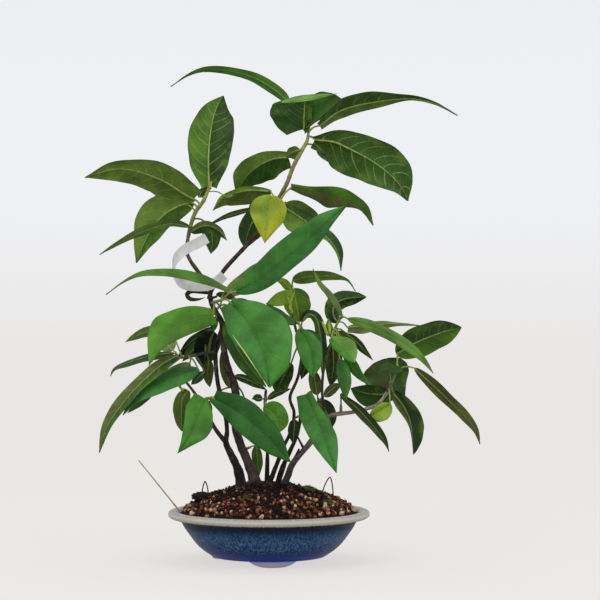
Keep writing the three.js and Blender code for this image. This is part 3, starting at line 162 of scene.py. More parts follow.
# Leaves: name, twig, tone, midrib from base to tip, half widths and turns of the left and the right half,
# the widest place as a share of the length or a list of widths, and how blunt the end is. The first letter
# of a name tells where a leaf hangs: left, top, middle, centre, right, or k at the foot and b on the far
# side; y is the yellow one and d a dry one
Leaf = namedtuple("Leaf", "name twig tone rib halves turns widest end")
LEAVES = [
  ["l1", "upper_left", "dull", [[194, 199, 2], [180, 190.5, -3], [165, 181, -8], [150, 174.8, -12],
    [133, 169.6, -17], [115, 168.3, -22], [84, 176.5, -28]], [15, 17], [40, -38],
    [0.55, [0.65, 1, 0.93, 0.66, 0.4, 0]], 1],
  ["l2", "upper_left", "dull", [[191, 203, 12], [176, 208, 18], [160, 219.5, 24], [147, 239, 28],
    [137, 263, 30]], [13, 22], [30, 12], [0.36, [0.5, 0.85, 1, 0.85, 0.42, 0]], 1],
  ["l3", "upper_left", "dull", [[190, 226.5, -6], [172, 222.5, -14], [155, 226, -22], [138, 232.3, -29],
    [120, 241, -37], [98, 254, -46]], [4.2, 4.4], [64, -66], 0.4, 1],
  ["l4", "upper_left", "fresh", [[208.7, 185.5, 0], [208, 160, -4], [210.5, 130, -3], [215.5, 110, 2],
    [223, 96, 6]], [21.5, 23.5], [-14, 22],
    [[0.3, 0.85, 1, 0.98, 0.66, 0], [0.3, 0.82, 1, 0.98, 0.88, 0]], 1],
  ["l5", "upper_left", "dark", [[191, 231, -8], [200, 226, -12], [210, 225.5, -18], [219, 230, -22],
    [227, 240, -23]], [4.5, 8], [-40, 46], 0.4, 1],
  ["l6", "upper_left", "dark", [[208, 224, 14], [211.5, 233, 20], [212.5, 243, 24], [211, 254, 26]],
    [9, 9.5], [20, -20], 0.42, 1],
  ["l10", "upper_left", "dark", [[199, 197, 9], [202, 193, 12], [206, 190, 14], [212, 188.5, 15]],
    [4, 4], [20, -20], 0.45, 1],
  ["b3", "upper_left", "dull", [[207, 184, 12], [207, 168, 26], [209, 148, 42], [213, 128, 54]],
    [15, 15], [10, 20], 0.5, 0.9],
  ["b4", "upper_left", "dull", [[184, 205, 18], [170, 196, 44], [156, 188, 68], [142, 182, 90]],
    [8, 8], [50, -46], 0.45, 1],
  ["t1", "top_right", "dark", [[290, 106, 14], [283, 96, 22], [269.5, 86.3, 30], [255, 78.3, 36],
    [238, 73.2, 41], [220, 70.3, 46], [203, 70.8, 48], [188, 76.5, 50], [171.5, 87.5, 52]], [5.6, 5.6],
    [60, -58], 0.24, 1.2],
  ["t2", "top_right", "dark", [[304, 129, -6], [303.5, 121, -14], [304, 112, -20], [304.5, 103, -22],
    [305, 97.5, -20]], [34, 8], [18, 24], [[0.5, 0.82, 0.95, 1, 0.93, 0], 0.5], [1, 0.6]],
  ["t2b", "top_right", "dark", [[306, 129, -7], [316, 120.5, -14], [326, 112, -20], [335, 104, -24],
    [341.5, 98, -26]], [22, 1.5], [20, -20], [[0.4, 0.85, 1, 1, 0.85, 0.3], 0.5], 1],
  ["t3", "top_right", "dull", [[320, 125.5, 6], [332, 115, 11], [346, 108, 14], [362, 104, 14],
    [378, 101.3, 12], [396, 99, 8], [413, 98.4, 4], [436, 103.5, -1], [458, 115, -6]], [12, 9.5], [-50, 54],
    [[0.25, 0.95, 0.9, 0.42, 0.13, 0], [0.4, 1, 0.68, 0.32, 0.13, 0]], 1],
  ["t4", "top_right", "dull", [[315, 139.5, 2], [334, 141.5, 0], [352, 149.5, -6], [371, 159.5, -13],
    [389, 172.5, -21], [401, 185.5, -27], [408.5, 200.5, -31]], [24.5, 26], [-28, 30],
    [[0.1, 0.6, 0.88, 1, 0.9, 0], [0.3, 0.92, 1, 0.85, 0.52, 0]], 1],
  ["t5", "top_right", "dark", [[288, 158, 16], [275, 159, 26], [261, 165, 34], [248, 175.5, 42],
    [236, 194, 46]], [19.5, 14], [32, -14], [[0.5, 0.88, 1, 0.85, 0.5, 0], [0.4, 0.55, 0.8, 1, 0.9, 0]], 1],
  ["t5b", "top_right", "dull", [[299, 150, -1], [294, 151.5, 4], [289, 154.5, 8], [286, 157, 10]],
    [8, 5.5], [30, -30], 0.5, 1],
  ["b5", "top_right", "dull", [[318, 150, 16], [340, 155, 40], [364, 165, 66], [386, 179, 88]],
    [12, 12], [-40, 40], 0.45, 1],
  ["b6", "top_right", "dull", [[302, 128, 12], [298, 119, 40], [295, 112, 66], [292, 114, 90]],
    [14, 14], [10, -10], 0.45, 1],
  ["t6", "right_stem", "mid", [[292, 187, -10], [305, 190.5, -15], [323, 193.5, -21], [344, 199.5, -30],
    [361, 208.5, -38], [373.5, 225, -44]], [10.5, 14.5], [-46, 42],
    [[0.25, 0.5, 0.85, 1, 0.75, 0], [0.2, 0.42, 1, 0.45, 0.1, 0]], 1],
  ["l7", "right_stem", "dull", [[270, 191, 12], [253, 189.8, 16], [237, 192.5, 22], [223, 198, 26],
    [213, 210.5, 29]], [14, 4], [48, -44], 0.45, 1],
  ["l9", "upper_left", "fresh", [[227, 197.4, 12], [230, 196.4, 12.5], [234, 195.5, 13]],
    [1.4, 1.4], [10, -10], 0.45, 1],
  ["l8", "right_stem", "dark", [[258, 208.5, 2], [241, 211.3, -4], [222, 217.8, -8], [205, 227, -11]],
    [2.9, 2.6], [64, -64], 0.4, 1],
  ["t8", "right_stem", "dark", [[284, 207, 16], [297, 216, 26], [312, 226.5, 33], [328.5, 239.5, 37],
    [337.5, 253, 38], [340.5, 271, 39]], [9, 18], [34, -8],
    [[0.5, 0.8, 0.85, 0.8, 0.6, 0], [0.5, 1, 0.7, 0.16, 0.1, 0]], 1],
  ["t10", "right_stem", "dark", [[262, 212, 16], [253, 222, 24], [247.5, 235, 30], [245, 248, 32]],
    [14, 11], [14, -10], 0.45, 0.8],
  ["b16", "right_stem", "dull", [[287, 204, 22], [302, 212, 50], [315, 224, 76], [324, 240, 98]],
    [9, 9], [-40, 40], 0.45, 1],
  ["b17", "right_stem", "dull", [[270, 204, 22], [262, 207, 48], [256, 213, 74], [253, 224, 96]],
    [10, 10], [20, -20], 0.45, 1],
  ["y1", "yellow", "yellow", [[271, 197, -22], [269.5, 208, -27], [267.5, 222, -30], [264.5, 243, -31]],
    [17.5, 19.5], [-10, -8], 0.32, 1.25],
  ["t7", "middle", "mid", [[237.5, 291, -22], [256, 281, -34], [280, 263, -46], [307, 240.5, -58],
    [331, 218, -66], [347.5, 204, -70]], [18, 12.3], [10, -36], [[0.2, 0.78, 1, 0.93, 0.7, 0], 0.4], 1],
  ["m1", "middle", "mid", [[226, 289, -20], [206, 280, -30], [183, 274.2, -40], [160, 271.2, -50],
    [140, 272.8, -56], [122, 281.2, -61], [104, 294.5, -66]], [5, 4.7], [-58, 58],
    [[0.45, 0.95, 1, 0.8, 0.3, 0], [0.45, 0.95, 1, 0.5, 0.2, 0]], 1],
  ["c1", "middle", "mid", [[232, 304, -30], [245, 320, -46], [258, 342, -60], [266, 365, -72],
    [269, 388.5, -80]], [34.5, 25], [-16, -10],
    [[0.1, 0.7, 1, 0.98, 0.68, 0], [0.38, 0.9, 0.88, 0.68, 0.46, 0]], 1],
  ["c1b", "middle", "dark", [[226, 322, -8], [232, 338, -8], [241, 354, -10], [252, 370, -12],
    [266, 387, -14]], [7, 9.5], [30, 24], 0.5, 1],
  ["m2", "middle", "bright", [[213, 316, -14], [196, 318.5, -26], [177, 326, -38], [161, 339, -48],
    [147.5, 366, -55]], [13.5, 20], [-8, 24],
    [[0.6, 0.95, 1, 0.8, 0.4, 0], [0.35, 0.64, 0.86, 1, 0.52, 0]], 1],
  ["m15", "middle", "dark", [[216, 317, -6], [214.5, 321, -8], [213.5, 326, -9], [213, 332, -10]],
    [4, 3.5], [10, -10], 0.45, 0.8],
  ["b1", "middle_back", "dull", [[229, 306, 22], [240, 311, 42], [250, 320, 66], [256, 336, 92]],
    [14, 14], [8, -8], 0.45, 1],
  ["b2", "middle_back", "dull", [[226, 295, 24], [244, 283, 42], [264, 269, 64], [284, 255, 86]],
    [9, 9], [46, -46], 0.45, 1],
  ["m3", "left", "dull", [[168, 330, 26], [156, 330, 29], [143, 333, 32], [126, 341.5, 35]],
    [5, 5], [30, -30], 0.45, 1],
  ["m9", "left", "dark", [[213, 333, 14], [209, 343, 20], [205.5, 354, 24], [203, 369, 26]],
    [12, 13.5], [26, -26], 0.44, 1],
  ["m4", "left", "dark", [[174, 353.5, -2], [158, 355.6, -6], [142, 359, -10], [126, 364.2, -12],
    [113.5, 370, -13], [110.5, 376.5, -13]], [3.8, 3.4], [-58, 58], 0.35, 0.8],
  ["m5", "left", "dull", [[176, 356.5, -18], [160, 366.5, -29], [146.5, 378.5, -37], [135, 389.5, -44],
    [124, 402, -49], [114, 415, -53], [105.5, 429, -56], [98, 454, -58]], [7.5, 8], [-52, 48],
    [[0.6, 1, 0.7, 0.66, 0.55, 0], 0.5], 0.8],
  ["m6", "left", "blue", [[198, 370, -14], [180, 376.5, -26], [162, 383.5, -34], [146, 390.5, -40],
    [133, 400.5, -44], [121.5, 416, -48]], [9, 10], [-36, 44], 0.42, 1],
  ["m8", "left", "dark", [[213, 328, 26], [202, 334.5, 32], [190, 343, 38], [178, 357, 42]],
    [10, 4.5], [16, -16], 0.45, 1],
  ["m8b", "left", "dull", [[206, 341, 30], [198, 346, 36], [190, 353, 40], [183, 361, 42]],
    [6, 6], [16, -16], 0.45, 1],
  ["m11", "left", "dark", [[204, 373, -8], [200, 376, -10], [196, 380, -12], [191, 385, -13]],
    [4.5, 4.5], [-20, 20], 0.45, 1],
  ["m14", "left", "shade", [[209, 360, 14], [208, 368, 18], [208, 377, 20], [210, 387, 21]],
    [6, 5], [20, -20], 0.45, 0.9],
  ["b7", "left", "dull", [[172, 350, 16], [168, 344, 44], [164, 341, 70], [160, 345, 94]],
    [9, 9], [30, -30], 0.45, 1],
  ["b8", "left", "dull", [[190, 364, 18], [174, 375, 46], [158, 386, 72], [146, 396, 94]],
    [8, 8], [-46, 46], 0.45, 1],
  ["m7", "left_branch", "blue", [[152, 394, 16], [145, 399, 18], [137, 405, 20], [128, 413, 21]],
    [3.5, 3.5], [30, -20], 0.45, 1],
  ["m12", "left_branch", "dull", [[188, 391, 10], [183, 400, 9], [182, 414, 8], [182, 431, 8]],
    [7.5, 8.5], [26, 26], 0.45, 0.8],
  ["m13", "low_left", "bright", [[204.5, 399, -16], [200, 412, -24], [193.5, 427.5, -31], [186, 441.5, -34],
    [177, 454, -36]], [17.5, 16], [-12, -6], [[0.1, 0.72, 0.98, 0.9, 0.34, 0], [0.7, 1, 0.82, 0.6, 0.3, 0]],
    1],
  ["c4", "low_left", "mid", [[214, 399, -24], [231, 409, -34], [251, 424, -44], [270, 441, -52],
    [290.5, 464, -57]], [17.5, 15.5], [-20, 8],
    [[0.45, 0.9, 1, 0.88, 0.54, 0], [0.3, 0.8, 0.98, 1, 0.71, 0]], 1],
  ["c2", "centre_back", "dull", [[235, 376, 14], [245, 379, 19], [256, 384, 23], [267, 390, 25]],
    [4.5, 4], [30, -30], 0.45, 1],
  ["c21", "centre_back", "shade", [[231, 387, 16], [228, 376, 20], [225, 364, 23], [222, 350, 25]],
    [6, 6], [16, -16], 0.45, 0.9],
  ["b12", "centre_back", "dull", [[209, 402, 40], [203, 413, 52], [196, 425, 62], [188, 438, 70]],
    [9, 9], [12, -12], 0.45, 1],
  ["b13", "centre_back", "dull", [[247, 405, 30], [252, 415, 50], [259, 427, 70], [266, 441, 90]],
    [10, 10], [-16, 16], 0.45, 1],
  ["c5", "centre_small", "bright", [[265, 407, -4], [273, 413, -10], [278, 421, -14], [279, 433, -16]],
    [12, 8], [-10, 10], 0.45, 0.8],
  ["c18", "centre_small", "dark", [[262, 399, 9], [259, 398.5, 11], [256, 398, 13], [252, 398.5, 14]],
    [3, 4.5], [20, -20], 0.45, 1],
  ["c19", "centre_small", "dark", [[268, 399, 3], [275, 394, 0], [283, 391, -3], [291, 389, -5]],
    [3.5, 3.5], [20, -20], 0.45, 1],
  ["c6", "centre_low", "mid", [[306, 395, -24], [313.5, 412, -36], [321, 431, -48], [328.5, 452, -58],
    [336.7, 474.5, -64]], [13.5, 15.5], [-20, -6],
    [[0.45, 0.55, 0.85, 1, 0.6, 0], [0.6, 0.98, 0.98, 0.8, 0.46, 0]], 1],
  ["b14", "low_rear", "dull", [[307, 405, 26], [314, 416, 46], [320, 430, 64], [327, 447, 82]],
    [9, 9], [-20, 20], 0.45, 1],
  ["c7", "centre_top", "mid", [[300, 330, -18], [307, 341, -26], [311.5, 355, -32], [313, 366, -35],
    [312.5, 378, -36]], [12, 12.5], [-14, -14], [[0.15, 0.75, 1, 0.95, 0.62, 0], 0.4], [1, 0.8]],
  ["c8", "centre_top", "dark", [[302, 321.5, 6], [306, 315, 8], [311.5, 314, 10], [317, 319, 12],
    [320.5, 333, 14], [322.5, 354, 15], [323, 378, 14]], [5, 5], [54, 48], 0.5, 1],
  ["c15", "centre_top", "mid", [[297, 323, -6], [288, 320, -12], [278, 313, -16], [266, 303, -18]],
    [4.5, 4.5], [-50, 50], 0.45, 1],
  ["c3", "centre_rear", "dark", [[291, 364, 20], [286, 371, 26], [281, 381, 30], [277, 392.5, 32]],
    [9, 8], [20, -20], 0.62, 0.6],
  ["c24", "centre_rear", "shade", [[307, 348, 20], [307, 357, 24], [305, 367, 26], [301, 379, 27]],
    [6, 6], [16, -16], 0.45, 0.9],
  ["b9", "centre_rear", "dull", [[304, 331, 14], [306, 337, 40], [309, 348, 66], [311, 361, 90]],
    [11, 11], [8, -8], 0.45, 1],
  ["c13", "centre_upper", "dull", [[293, 279.8, 2], [303, 276.8, -3], [314, 275.6, -8], [326, 275.2, -13],
    [338, 276.5, -17], [348, 280, -20], [356, 291, -21]], [5.8, 7], [-50, 50], 0.25, 1.5],
  ["c14", "centre_upper", "dull", [[294, 290, 8], [295.5, 299, 12], [297.5, 309, 14], [300, 322, 14]],
    [14, 12], [16, 22], 0.42, 0.8],
  ["c14b", "centre_upper", "bright", [[291, 292, -2], [284, 295, -6], [276, 299, -9], [266, 304, -11]],
    [9, 5], [-10, 10], 0.45, 1],
  ["c14c", "centre_upper", "dull", [[291, 290, 1], [287, 286, 0], [283, 282, -1], [276, 280, -1]],
    [4, 4.5], [20, -20], 0.45, 1],
  ["c9", "right_top", "mid", [[331, 339.5, -20], [339, 345, -28], [347.5, 352.5, -34], [355, 363, -38]],
    [12.5, 7], [-20, -8], [[0.2, 0.62, 0.95, 1, 0.7, 0], 0.5], [1, 0.7]],
  ["c9b", "right_top", "mid", [[344.5, 353, -10], [352, 364, -14], [359, 374.5, -17], [370, 385.5, -19]],
    [5, 5.5], [-30, 30], 0.4, 1],
  ["c10", "right_top", "bright", [[340, 360, -12], [343, 370, -16], [345, 382, -19], [346, 400, -20]],
    [7, 7], [-12, -12], 0.45, 1],
  ["c11", "right_top", "dark", [[336, 322, 10], [332.5, 314, 14], [334, 305, 20], [342, 299.5, 25],
    [354, 297.5, 28], [366, 297, 29]], [8.5, 9], [26, 30], 0.45, 0.8],
  ["c12", "right_top", "mid", [[342, 316, -14], [336.5, 304.5, -22], [328.5, 293, -31], [320, 283, -35],
    [313, 268.5, -37]], [3.4, 3.2], [-62, 60], 0.42, 1],
  ["r1", "right_top", "mid", [[348, 319, -16], [370, 325.5, -24], [392, 336, -32], [412, 349, -38],
    [424, 360, -41], [434, 374, -43]], [5.5, 6], [-44, 44], 0.38, 0.8],
  ["r2", "right_top", "brown", [[348, 328, 10], [366, 326.5, 18], [386, 324.6, 24], [404, 324.8, 29],
    [421, 326, 33]], [4, 7.5], [60, -50], [0.3, [0.6, 1, 0.72, 0.3, 0.14, 0]], 1.2],
  ["c16", "right_top", "dark", [[347, 334, 4], [355, 339.5, 8], [362.5, 348, 11], [373, 360, 13]],
    [3.5, 4.5], [-40, 40], 0.4, 1],
  ["c20", "right_top", "fresh", [[333, 337, -7], [330.5, 332, -9], [329, 326, -10], [328.5, 318, -10]],
    [4, 4], [10, -10], 0.45, 1],
  ["c8b", "right_top", "dark", [[332, 344, 10], [333, 355, 15], [333, 368, 18], [330, 386, 20]],
    [9, 8], [14, -14], 0.45, 0.9],
  ["b10", "right_top", "dull", [[338, 332, 12], [343, 342, 38], [348, 352, 64], [353, 365, 88]],
    [10, 10], [-10, 10], 0.45, 1],
  ["r3", "right_end", "dull", [[398, 353, -6], [414, 343.3, -12], [431, 336, -17], [446, 331, -20],
    [462, 327, -22]], [14.5, 15.5], [-26, 34], [0.42, 0.45], [0.76, 0.72]],
  ["r4", "right_end", "dark", [[394, 398, 18], [391, 386, 24], [389, 373, 28], [386, 358, 30]],
    [28, 19], [10, 14], [[0.3, 0.6, 0.85, 1, 0.84, 0.35], [0.5, 0.72, 0.85, 1, 1, 0.6]], 1],
  ["r5", "right_end", "blue", [[402, 371, -14], [393, 370.5, -17], [386, 368, -19], [378, 375, -20]],
    [3.5, 6], [-20, 20], 0.45, 1],
  ["r6", "right_end", "brown", [[415.5, 368.5, -20], [433, 384.3, -27], [450.3, 401, -34],
    [465.3, 415.7, -39], [477, 430.5, -43], [481.5, 445, -45]], [5.8, 6], [-46, 48], 0.4, 0.8],
  ["r7", "right_end", "dark", [[394, 394, -8], [403, 405, -14], [410.5, 421, -18], [414, 455, -20]],
    [13, 7], [-16, 16], [[0.3, 0.68, 0.92, 1, 0.76, 0.1], [0.6, 1, 0.8, 0.25, 0.1, 0]], 1],
  ["r4b", "right_end", "dark", [[388, 394, 10], [376, 394, 14], [364, 392.5, 17], [350.5, 388, 19]],
    [14, 9], [10, -12], [0.36, 0.45], 0.9],
  ["r9", "right_end", "lime", [[390, 405, -14], [384, 408.5, -18], [377, 413, -20], [369.5, 417, -20]],
    [11, 6], [-24, -20], 0.5, 0.7],
  ["b11", "right_end", "dull", [[392, 384, 40], [390, 380, 58], [388, 377, 78], [386, 381, 98]],
    [13, 13], [10, -10], 0.45, 1],
  ["r8", "right_low", "dark", [[341, 394.5, -8], [355, 405.5, -14], [368.5, 419.5, -20], [379.5, 433, -25],
    [386, 442.5, -27], [389.6, 452, -28]], [5, 5.4], [-48, 50], [[0.3, 0.65, 0.9, 1, 0.7, 0], 0.42], 0.9],
  ["r10", "inner_right", "dark", [[318, 402, 14], [323.5, 408, 19], [328, 416, 23], [332, 427, 25]],
    [9.5, 7.5], [14, -14], 0.45, 0.8],
  ["c22", "inner_right", "shade", [[317, 394, 13], [316, 386, 17], [314.5, 378, 20], [311, 367, 22]],
    [6.5, 6], [16, -16], 0.45, 0.9],
  ["c23", "inner_right", "shade", [[325, 396, 10], [330, 391, 14], [335, 387, 17], [342, 384, 18]],
    [5, 5], [16, -16], 0.45, 0.9],
  ["r11", "inner_low", "dark", [[294, 420, -6], [294, 427, -7], [293.5, 435, -7], [293, 444, -6]],
    [6, 6], [16, -16], 0.45, 1],
  ["k9", "low_back", "dull", [[256, 446, 18], [257, 455, 22], [258, 465, 25], [259, 476, 26]],
    [5.5, 5.5], [14, -14], 0.45, 1],
  ["d1", "dead", "dead", [[211, 293.6, 4.5], [200, 291.5, 6], [191, 291.2, 5.5], [187, 294.5, 3.5],
    [190, 298.8, 1.5], [198, 299.3, 0], [205, 297.5, -0.5]], [2.4, 2.4], [20, -30], 0.4, 0.8],
  ["d2", "dead", "dead", [[217, 294, 5.5], [225, 295.5, 7], [232, 297.5, 7], [238, 301.5, 6]],
    [3.4, 3.2], [20, -30], 0.4, 1],
]

# Margins folded over towards the eye: a broad one on the near face of t2 and t2b, and a pale line along c1
FOLDS = [
  ["fold", "top_right", "sheen", [[282, 101.5, -24], [296, 99.5, -25.5], [308, 98, -26.5], [322, 95, -26.5],
    [337, 93.2, -25]], [4.6, 2.2], [10, -10], [[0.2, 0.8, 1, 0.7, 0.3, 0], 0.5], 1],
  ["hem", "middle", "pale", [[232.5, 336, -62], [238.5, 345, -70], [245.5, 355, -77], [253.5, 367, -82],
    [262, 380, -83]], [0.7, 0.7], [0, 0], 0.45, 1],
]
LEAVES = [Leaf(*row) for row in LEAVES]
FOLDS = [Leaf(*row) for row in FOLDS]

# Leaf buds that are about to open, in yellow sheaths: twig, foot and tip in the front view
OPENING = [
  ["centre_upper", [291, 306, -6], [287, 296, -8]], ["centre_upper", [292, 313, -6], [289, 305, -9]],
  ["centre_upper", [290, 302, -7], [294, 292, -8]], ["right_top", [328, 336, -12], [324, 326, -14]],
  ["right_top", [330, 334, -12], [329, 322, -14]], ["right_top", [326, 330, -13], [322, 321, -14]],
]

# Points on the label strip's middle line, each with the turn of the strip from the front view's plane
LABEL = [
  [207, 238, -3, 10], [197, 243.5, -1.2, 8], [187, 248.5, 0.2, 12], [178, 256, 1, 35], [174.5, 264, 2, 70],
  [174, 272, 2, 80], [177, 279, 0, 60], [184, 284.5, -2.5, 25], [195, 286, -3.4, 8], [207, 285.5, -3.5, 4],
  [217, 281.5, -4.6, 8], [224, 275, -5.6, 20],
]

# Bent wire pins and the dry stalk: points of the front view with a depth
PINS = {
    "wire_pin_left": [[202, 500, -6], [202.3, 490, -6], [205, 481.5, -6], [207.8, 490, -6], [208, 499, -6]],
    "wire_pin_right": [[322.6, 500, -10], [323.5, 489, -10], [330, 477.5, -10], [332.8, 489, -10],
                       [333, 500, -10]],
}
STRAW = [[183.5, 516, -4], [179, 510.5, -4], [160, 487, -3], [138.6, 460.3, -2]]

# Colours of the living plant, as the eye meets them in soft daylight: the leaves' own greens together with
# lit and shaded copies of them. The sunny and sheen tones are painted light, and the near-black ones are
# painted shade for leaves that hang in shadow; dark is partly painted shade
TONES = {
    "dull": "#5F7F2E",
    "fresh": "#6F9838",
    "dark": "#294D1B",
    "mid": "#44862F",
    "bright": "#5A9628",
    "leafy": "#498A2A",
    "jade": "#3F8030",
    "pine": "#2F6C27",
    "blue": "#2F6C38",
    "lime": "#86A42A",
    "brown": "#56602C",
    "yellow": "#9AAE20",
    "olive": "#66742E",
    # Painted shade in the near-black greens here, and painted light in the sunny one
    "deep": "#16362A",
    "sun": "#8AB62E",
    "shade": "#1C3614",
    "deepest_shade": "#10241A",
    "veined": "#345E1C",
    "moor": "#4E5E30",
    "grass": "#4C7A22",
    "sheen": "#7AAE50",
    "pale": "#C6C88E",
    "dead": "#2E2A1C",
}
# The side of a blade that is turned away: an upper face behind an underside, and the other way round
UPPER_GREEN = "#35702A"
UNDER_GREEN = "#6C8B45"

# Leaves with a tone of their own, or one for each half of a fold: the left first, going from base to tip.
# Most are picked by the light that falls on the leaf: the half of a fold that faces the lamps takes a lit
# copy and the other half a shaded one, as painted light and painted shade
LEAF_TONES_LIT_AND_SHADED = {
    "l2": ("grass", "dull"), "l4": ("grass", "dark"), "l5": ("olive", "dark"), "l6": "veined",
    "l7": ("olive", "sun"), "l8": ("dark", "moor"), "l9": ("dull", "fresh"), "t1": ("mid", "bright"),
    "t2": ("dark", "veined"), "t2b": ("veined", "dark"), "t3": ("veined", "dull"), "t4": "veined",
    "t5": ("veined", "dull"), "t6": ("grass", "brown"), "t7": ("jade", "pine"), "t8": ("dark", "fresh"),
    "m1": "grass", "m5": ("veined", "brown"), "m6": ("jade", "pine"), "m8": ("deepest_shade", "dark"),
    "m9": ("shade", "deepest_shade"), "m13": "leafy", "m14": "brown", "c1": ("mid", "jade"), "c1b": "veined",
    "c6": "jade", "c2": "dark", "c4": "pine", "c8": ("deep", "bright"), "c8b": "shade",
    "c9": ("sheen", "leafy"), "c10": ("mid", "pine"), "c11": ("dark", "shade"), "c12": "dull",
    "c13": "fresh", "c14": ("dull", "sun"), "c14b": "sun", "c14c": "sun", "c15": "pine",
    "c21": ("brown", "shade"), "c22": "brown", "c23": "brown", "r1": "sheen", "r2": ("dull", "brown"),
    "r3": ("dark", "grass"), "r4": ("moor", "dark"), "r4b": ("veined", "dark"), "r5": "veined",
    "r7": ("shade", "moor"), "r8": ("dark", "moor"), "r10": ("shade", "jade"), "r11": "shade",
    "k9": "fresh", "y1": ("yellow", "lime"),
}
# How clearly the veins show, from 0 to 1: on most blades above and below, and on single ones to the eye
VEINS = {
    "above": 0.2, "below": 0.35, "l1": 0.65, "l2": 0.5, "l4": 0.85, "l6": 0.5, "l7": 0.5, "t1": 0.15,
    "t2": 0.55, "t2b": 0.05, "t3": 0.6, "t4": 1.0, "t7": 0.14, "m4": 0.3, "m5": 0.4, "m8": 0.12, "m9": 0.08,
    "m11": 0.2, "c1": 0.14, "c1b": 0.1, "c4": 0.1, "r3": 0.4, "r4": 0.15, "r5": 0.12, "r6": 0.2, "r7": 0.08,
    "r8": 0.15, "y1": 0.4,
}
# The leaf that reaches the top of the solids is lowered by this many mm, to arch and wave inside them
TOPMOST = "t1"
TOPMOST_SINK = 0.35
# Tones that are an upper side turned to the eye; the others show their undersides there
UPPER_TONES = {"mid", "bright", "blue", "lime", "yellow", "dead"}
# Tones of blades that look alike on both sides
ALIKE_TONES = {"yellow", "lime", "dead"}

CURVE_STEPS = 24


def linear(code):
    """An sRGB hex colour as the linear red, green, blue and alpha that a shader takes."""
    parts = [int(code[k:k + 2], 16) / 255 for k in (1, 3, 5)]
    return [p / 12.92 if p <= 0.04045 else ((p + 0.055) / 1.055) ** 2.4 for p in parts] + [1.0]


def seen(places):
    """Points of the front view with a depth behind the pot's axis, in space on the eye's lines of sight."""
    across, down, depth = np.moveaxis(np.asarray(places, float)[..., :3], -1, 0)
    spread = (EYE_AWAY + depth) / EYE_AWAY
    x = EYE_X + (across - AXIS_ACROSS - EYE_X) * spread
    z = EYE_Z + (FOOT_DOWN - down - EYE_Z) * spread
    return np.stack([x * MM + AXIS.x, depth * MM + AXIS.y, z * MM], -1)


def run_along(rows):
    """How far along a path each of its points lies; its points are the first three columns."""
    steps = np.linalg.norm(np.diff(np.asarray(rows, float)[:, :3], axis=0), axis=1)
    return np.concatenate([[0], np.cumsum(steps)])


def smooth(rows, count):
    """Evenly spaced samples of a curve through rows; columns after the third run straight between them."""
    rows = np.asarray(rows, float)
    places = rows[:, :3]
    ends = np.vstack([2 * places[:1] - places[1:2], places, 2 * places[-1:] - places[-2:-1]])
    parts = []
    for k in range(len(rows) - 1):
        p0, p1, p2, p3 = ends[k:k + 4]
        spans = ((p0, p1), (p1, p2), (p2, p3))
        d0, d1, d2 = (max(np.linalg.norm(b - a) ** 0.5, 1e-6) for a, b in spans)
        m1 = ((p1 - p0) / d0 - (p2 - p0) / (d0 + d1) + (p2 - p1) / d1) * d1
        m2 = ((p2 - p1) / d1 - (p3 - p1) / (d1 + d2) + (p3 - p2) / d2) * d1
        t = np.linspace(0, 1, CURVE_STEPS, endpoint=k == len(rows) - 2)[:, None]
        place = p1 + m1 * t + (3 * (p2 - p1) - 2 * m1 - m2) * t ** 2 + (2 * (p1 - p2) + m1 + m2) * t ** 3
        parts.append(np.hstack([place, rows[k, 3:] * (1 - t) + rows[k + 1, 3:] * t]))
    dense = np.vstack(parts)
    length = run_along(dense)
    wanted = np.linspace(0, length[-1], count)
    return np.stack([np.interp(wanted, length, column) for column in dense.T], -1)


def rounded(rows, count):
    """A smooth line through rows of radius and height, as such rows."""
    return smooth([[r, z, 0] for r, z in rows], count)[:, :2].tolist()


def blend(first, second, share):
    """Colours that go over from one to the other as the share goes from 0 to 1."""
    share = share[:, None]
    return np.array(linear(first)) * (1 - share) + np.array(linear(second)) * share


def unit(vectors):
    """Vectors at a length of one."""
    return vectors / np.maximum(np.linalg.norm(vectors, axis=-1, keepdims=True), 1e-12)


class Shell:
    """Points and faces of one piece, gathered part by part, with the values that its finish reads."""

    def __init__(self):
        self.points, self.faces, self.finish = [], [], []
        self.tint, self.plan, self.blade = [], [], []
        self.count = 0

    def add(self, points, faces, tint, plan=None, blade=None, finish=0):
        """Takes in one part, in metres; plan and blade say where on it its points lie."""
        points = np.asarray(points, float).reshape(-1, 3)
        total = len(points)
        tint = np.broadcast_to(np.asarray(tint, float), (total, 4))
        self.points.append(points)
        self.faces.extend([tuple(i + self.count for i in face) for face in faces])
        self.finish.extend([finish] * len(faces))
        self.tint.append(tint)
        self.plan.append(np.zeros((total, 3)) if plan is None else plan)
        self.blade.append(np.zeros((total, 3)) if blade is None else blade)
        self.count += total

    def piece(self, name, materials, nodes, sharp):
        """Makes the object, in place, and says which body carries it and which solids it stands for."""
        mesh = bpy.data.meshes.new(name)
        mesh.from_pydata(np.vstack(self.points).tolist(), [], self.faces)
        for key, kind, entry, values in (("tint", "FLOAT_COLOR", "color", self.tint),
                                         ("plan", "FLOAT_VECTOR", "vector", self.plan),
                                         ("blade", "FLOAT_VECTOR", "vector", self.blade)):
            layer = mesh.attributes.new(key, kind, "POINT")
            layer.data.foreach_set(entry, np.vstack(values).ravel())
        for material in materials:
            mesh.materials.append(material)
        mesh.polygons.foreach_set("material_index", self.finish)
        mesh.update()
        made = bpy.data.objects.new(name, mesh)
        bpy.context.collection.objects.link(made)
        smooth_shade(made, sharp)
        settle(made, nodes)


def taken_apart(made):
    """Points and faces of a primitive, which is then removed: the stuff that a shell is shaped from."""
    points = np.array([v.co for v in made.data.vertices])
    faces = [tuple(p.vertices) for p in made.data.polygons]
    bpy.data.objects.remove(made)
    return points, faces


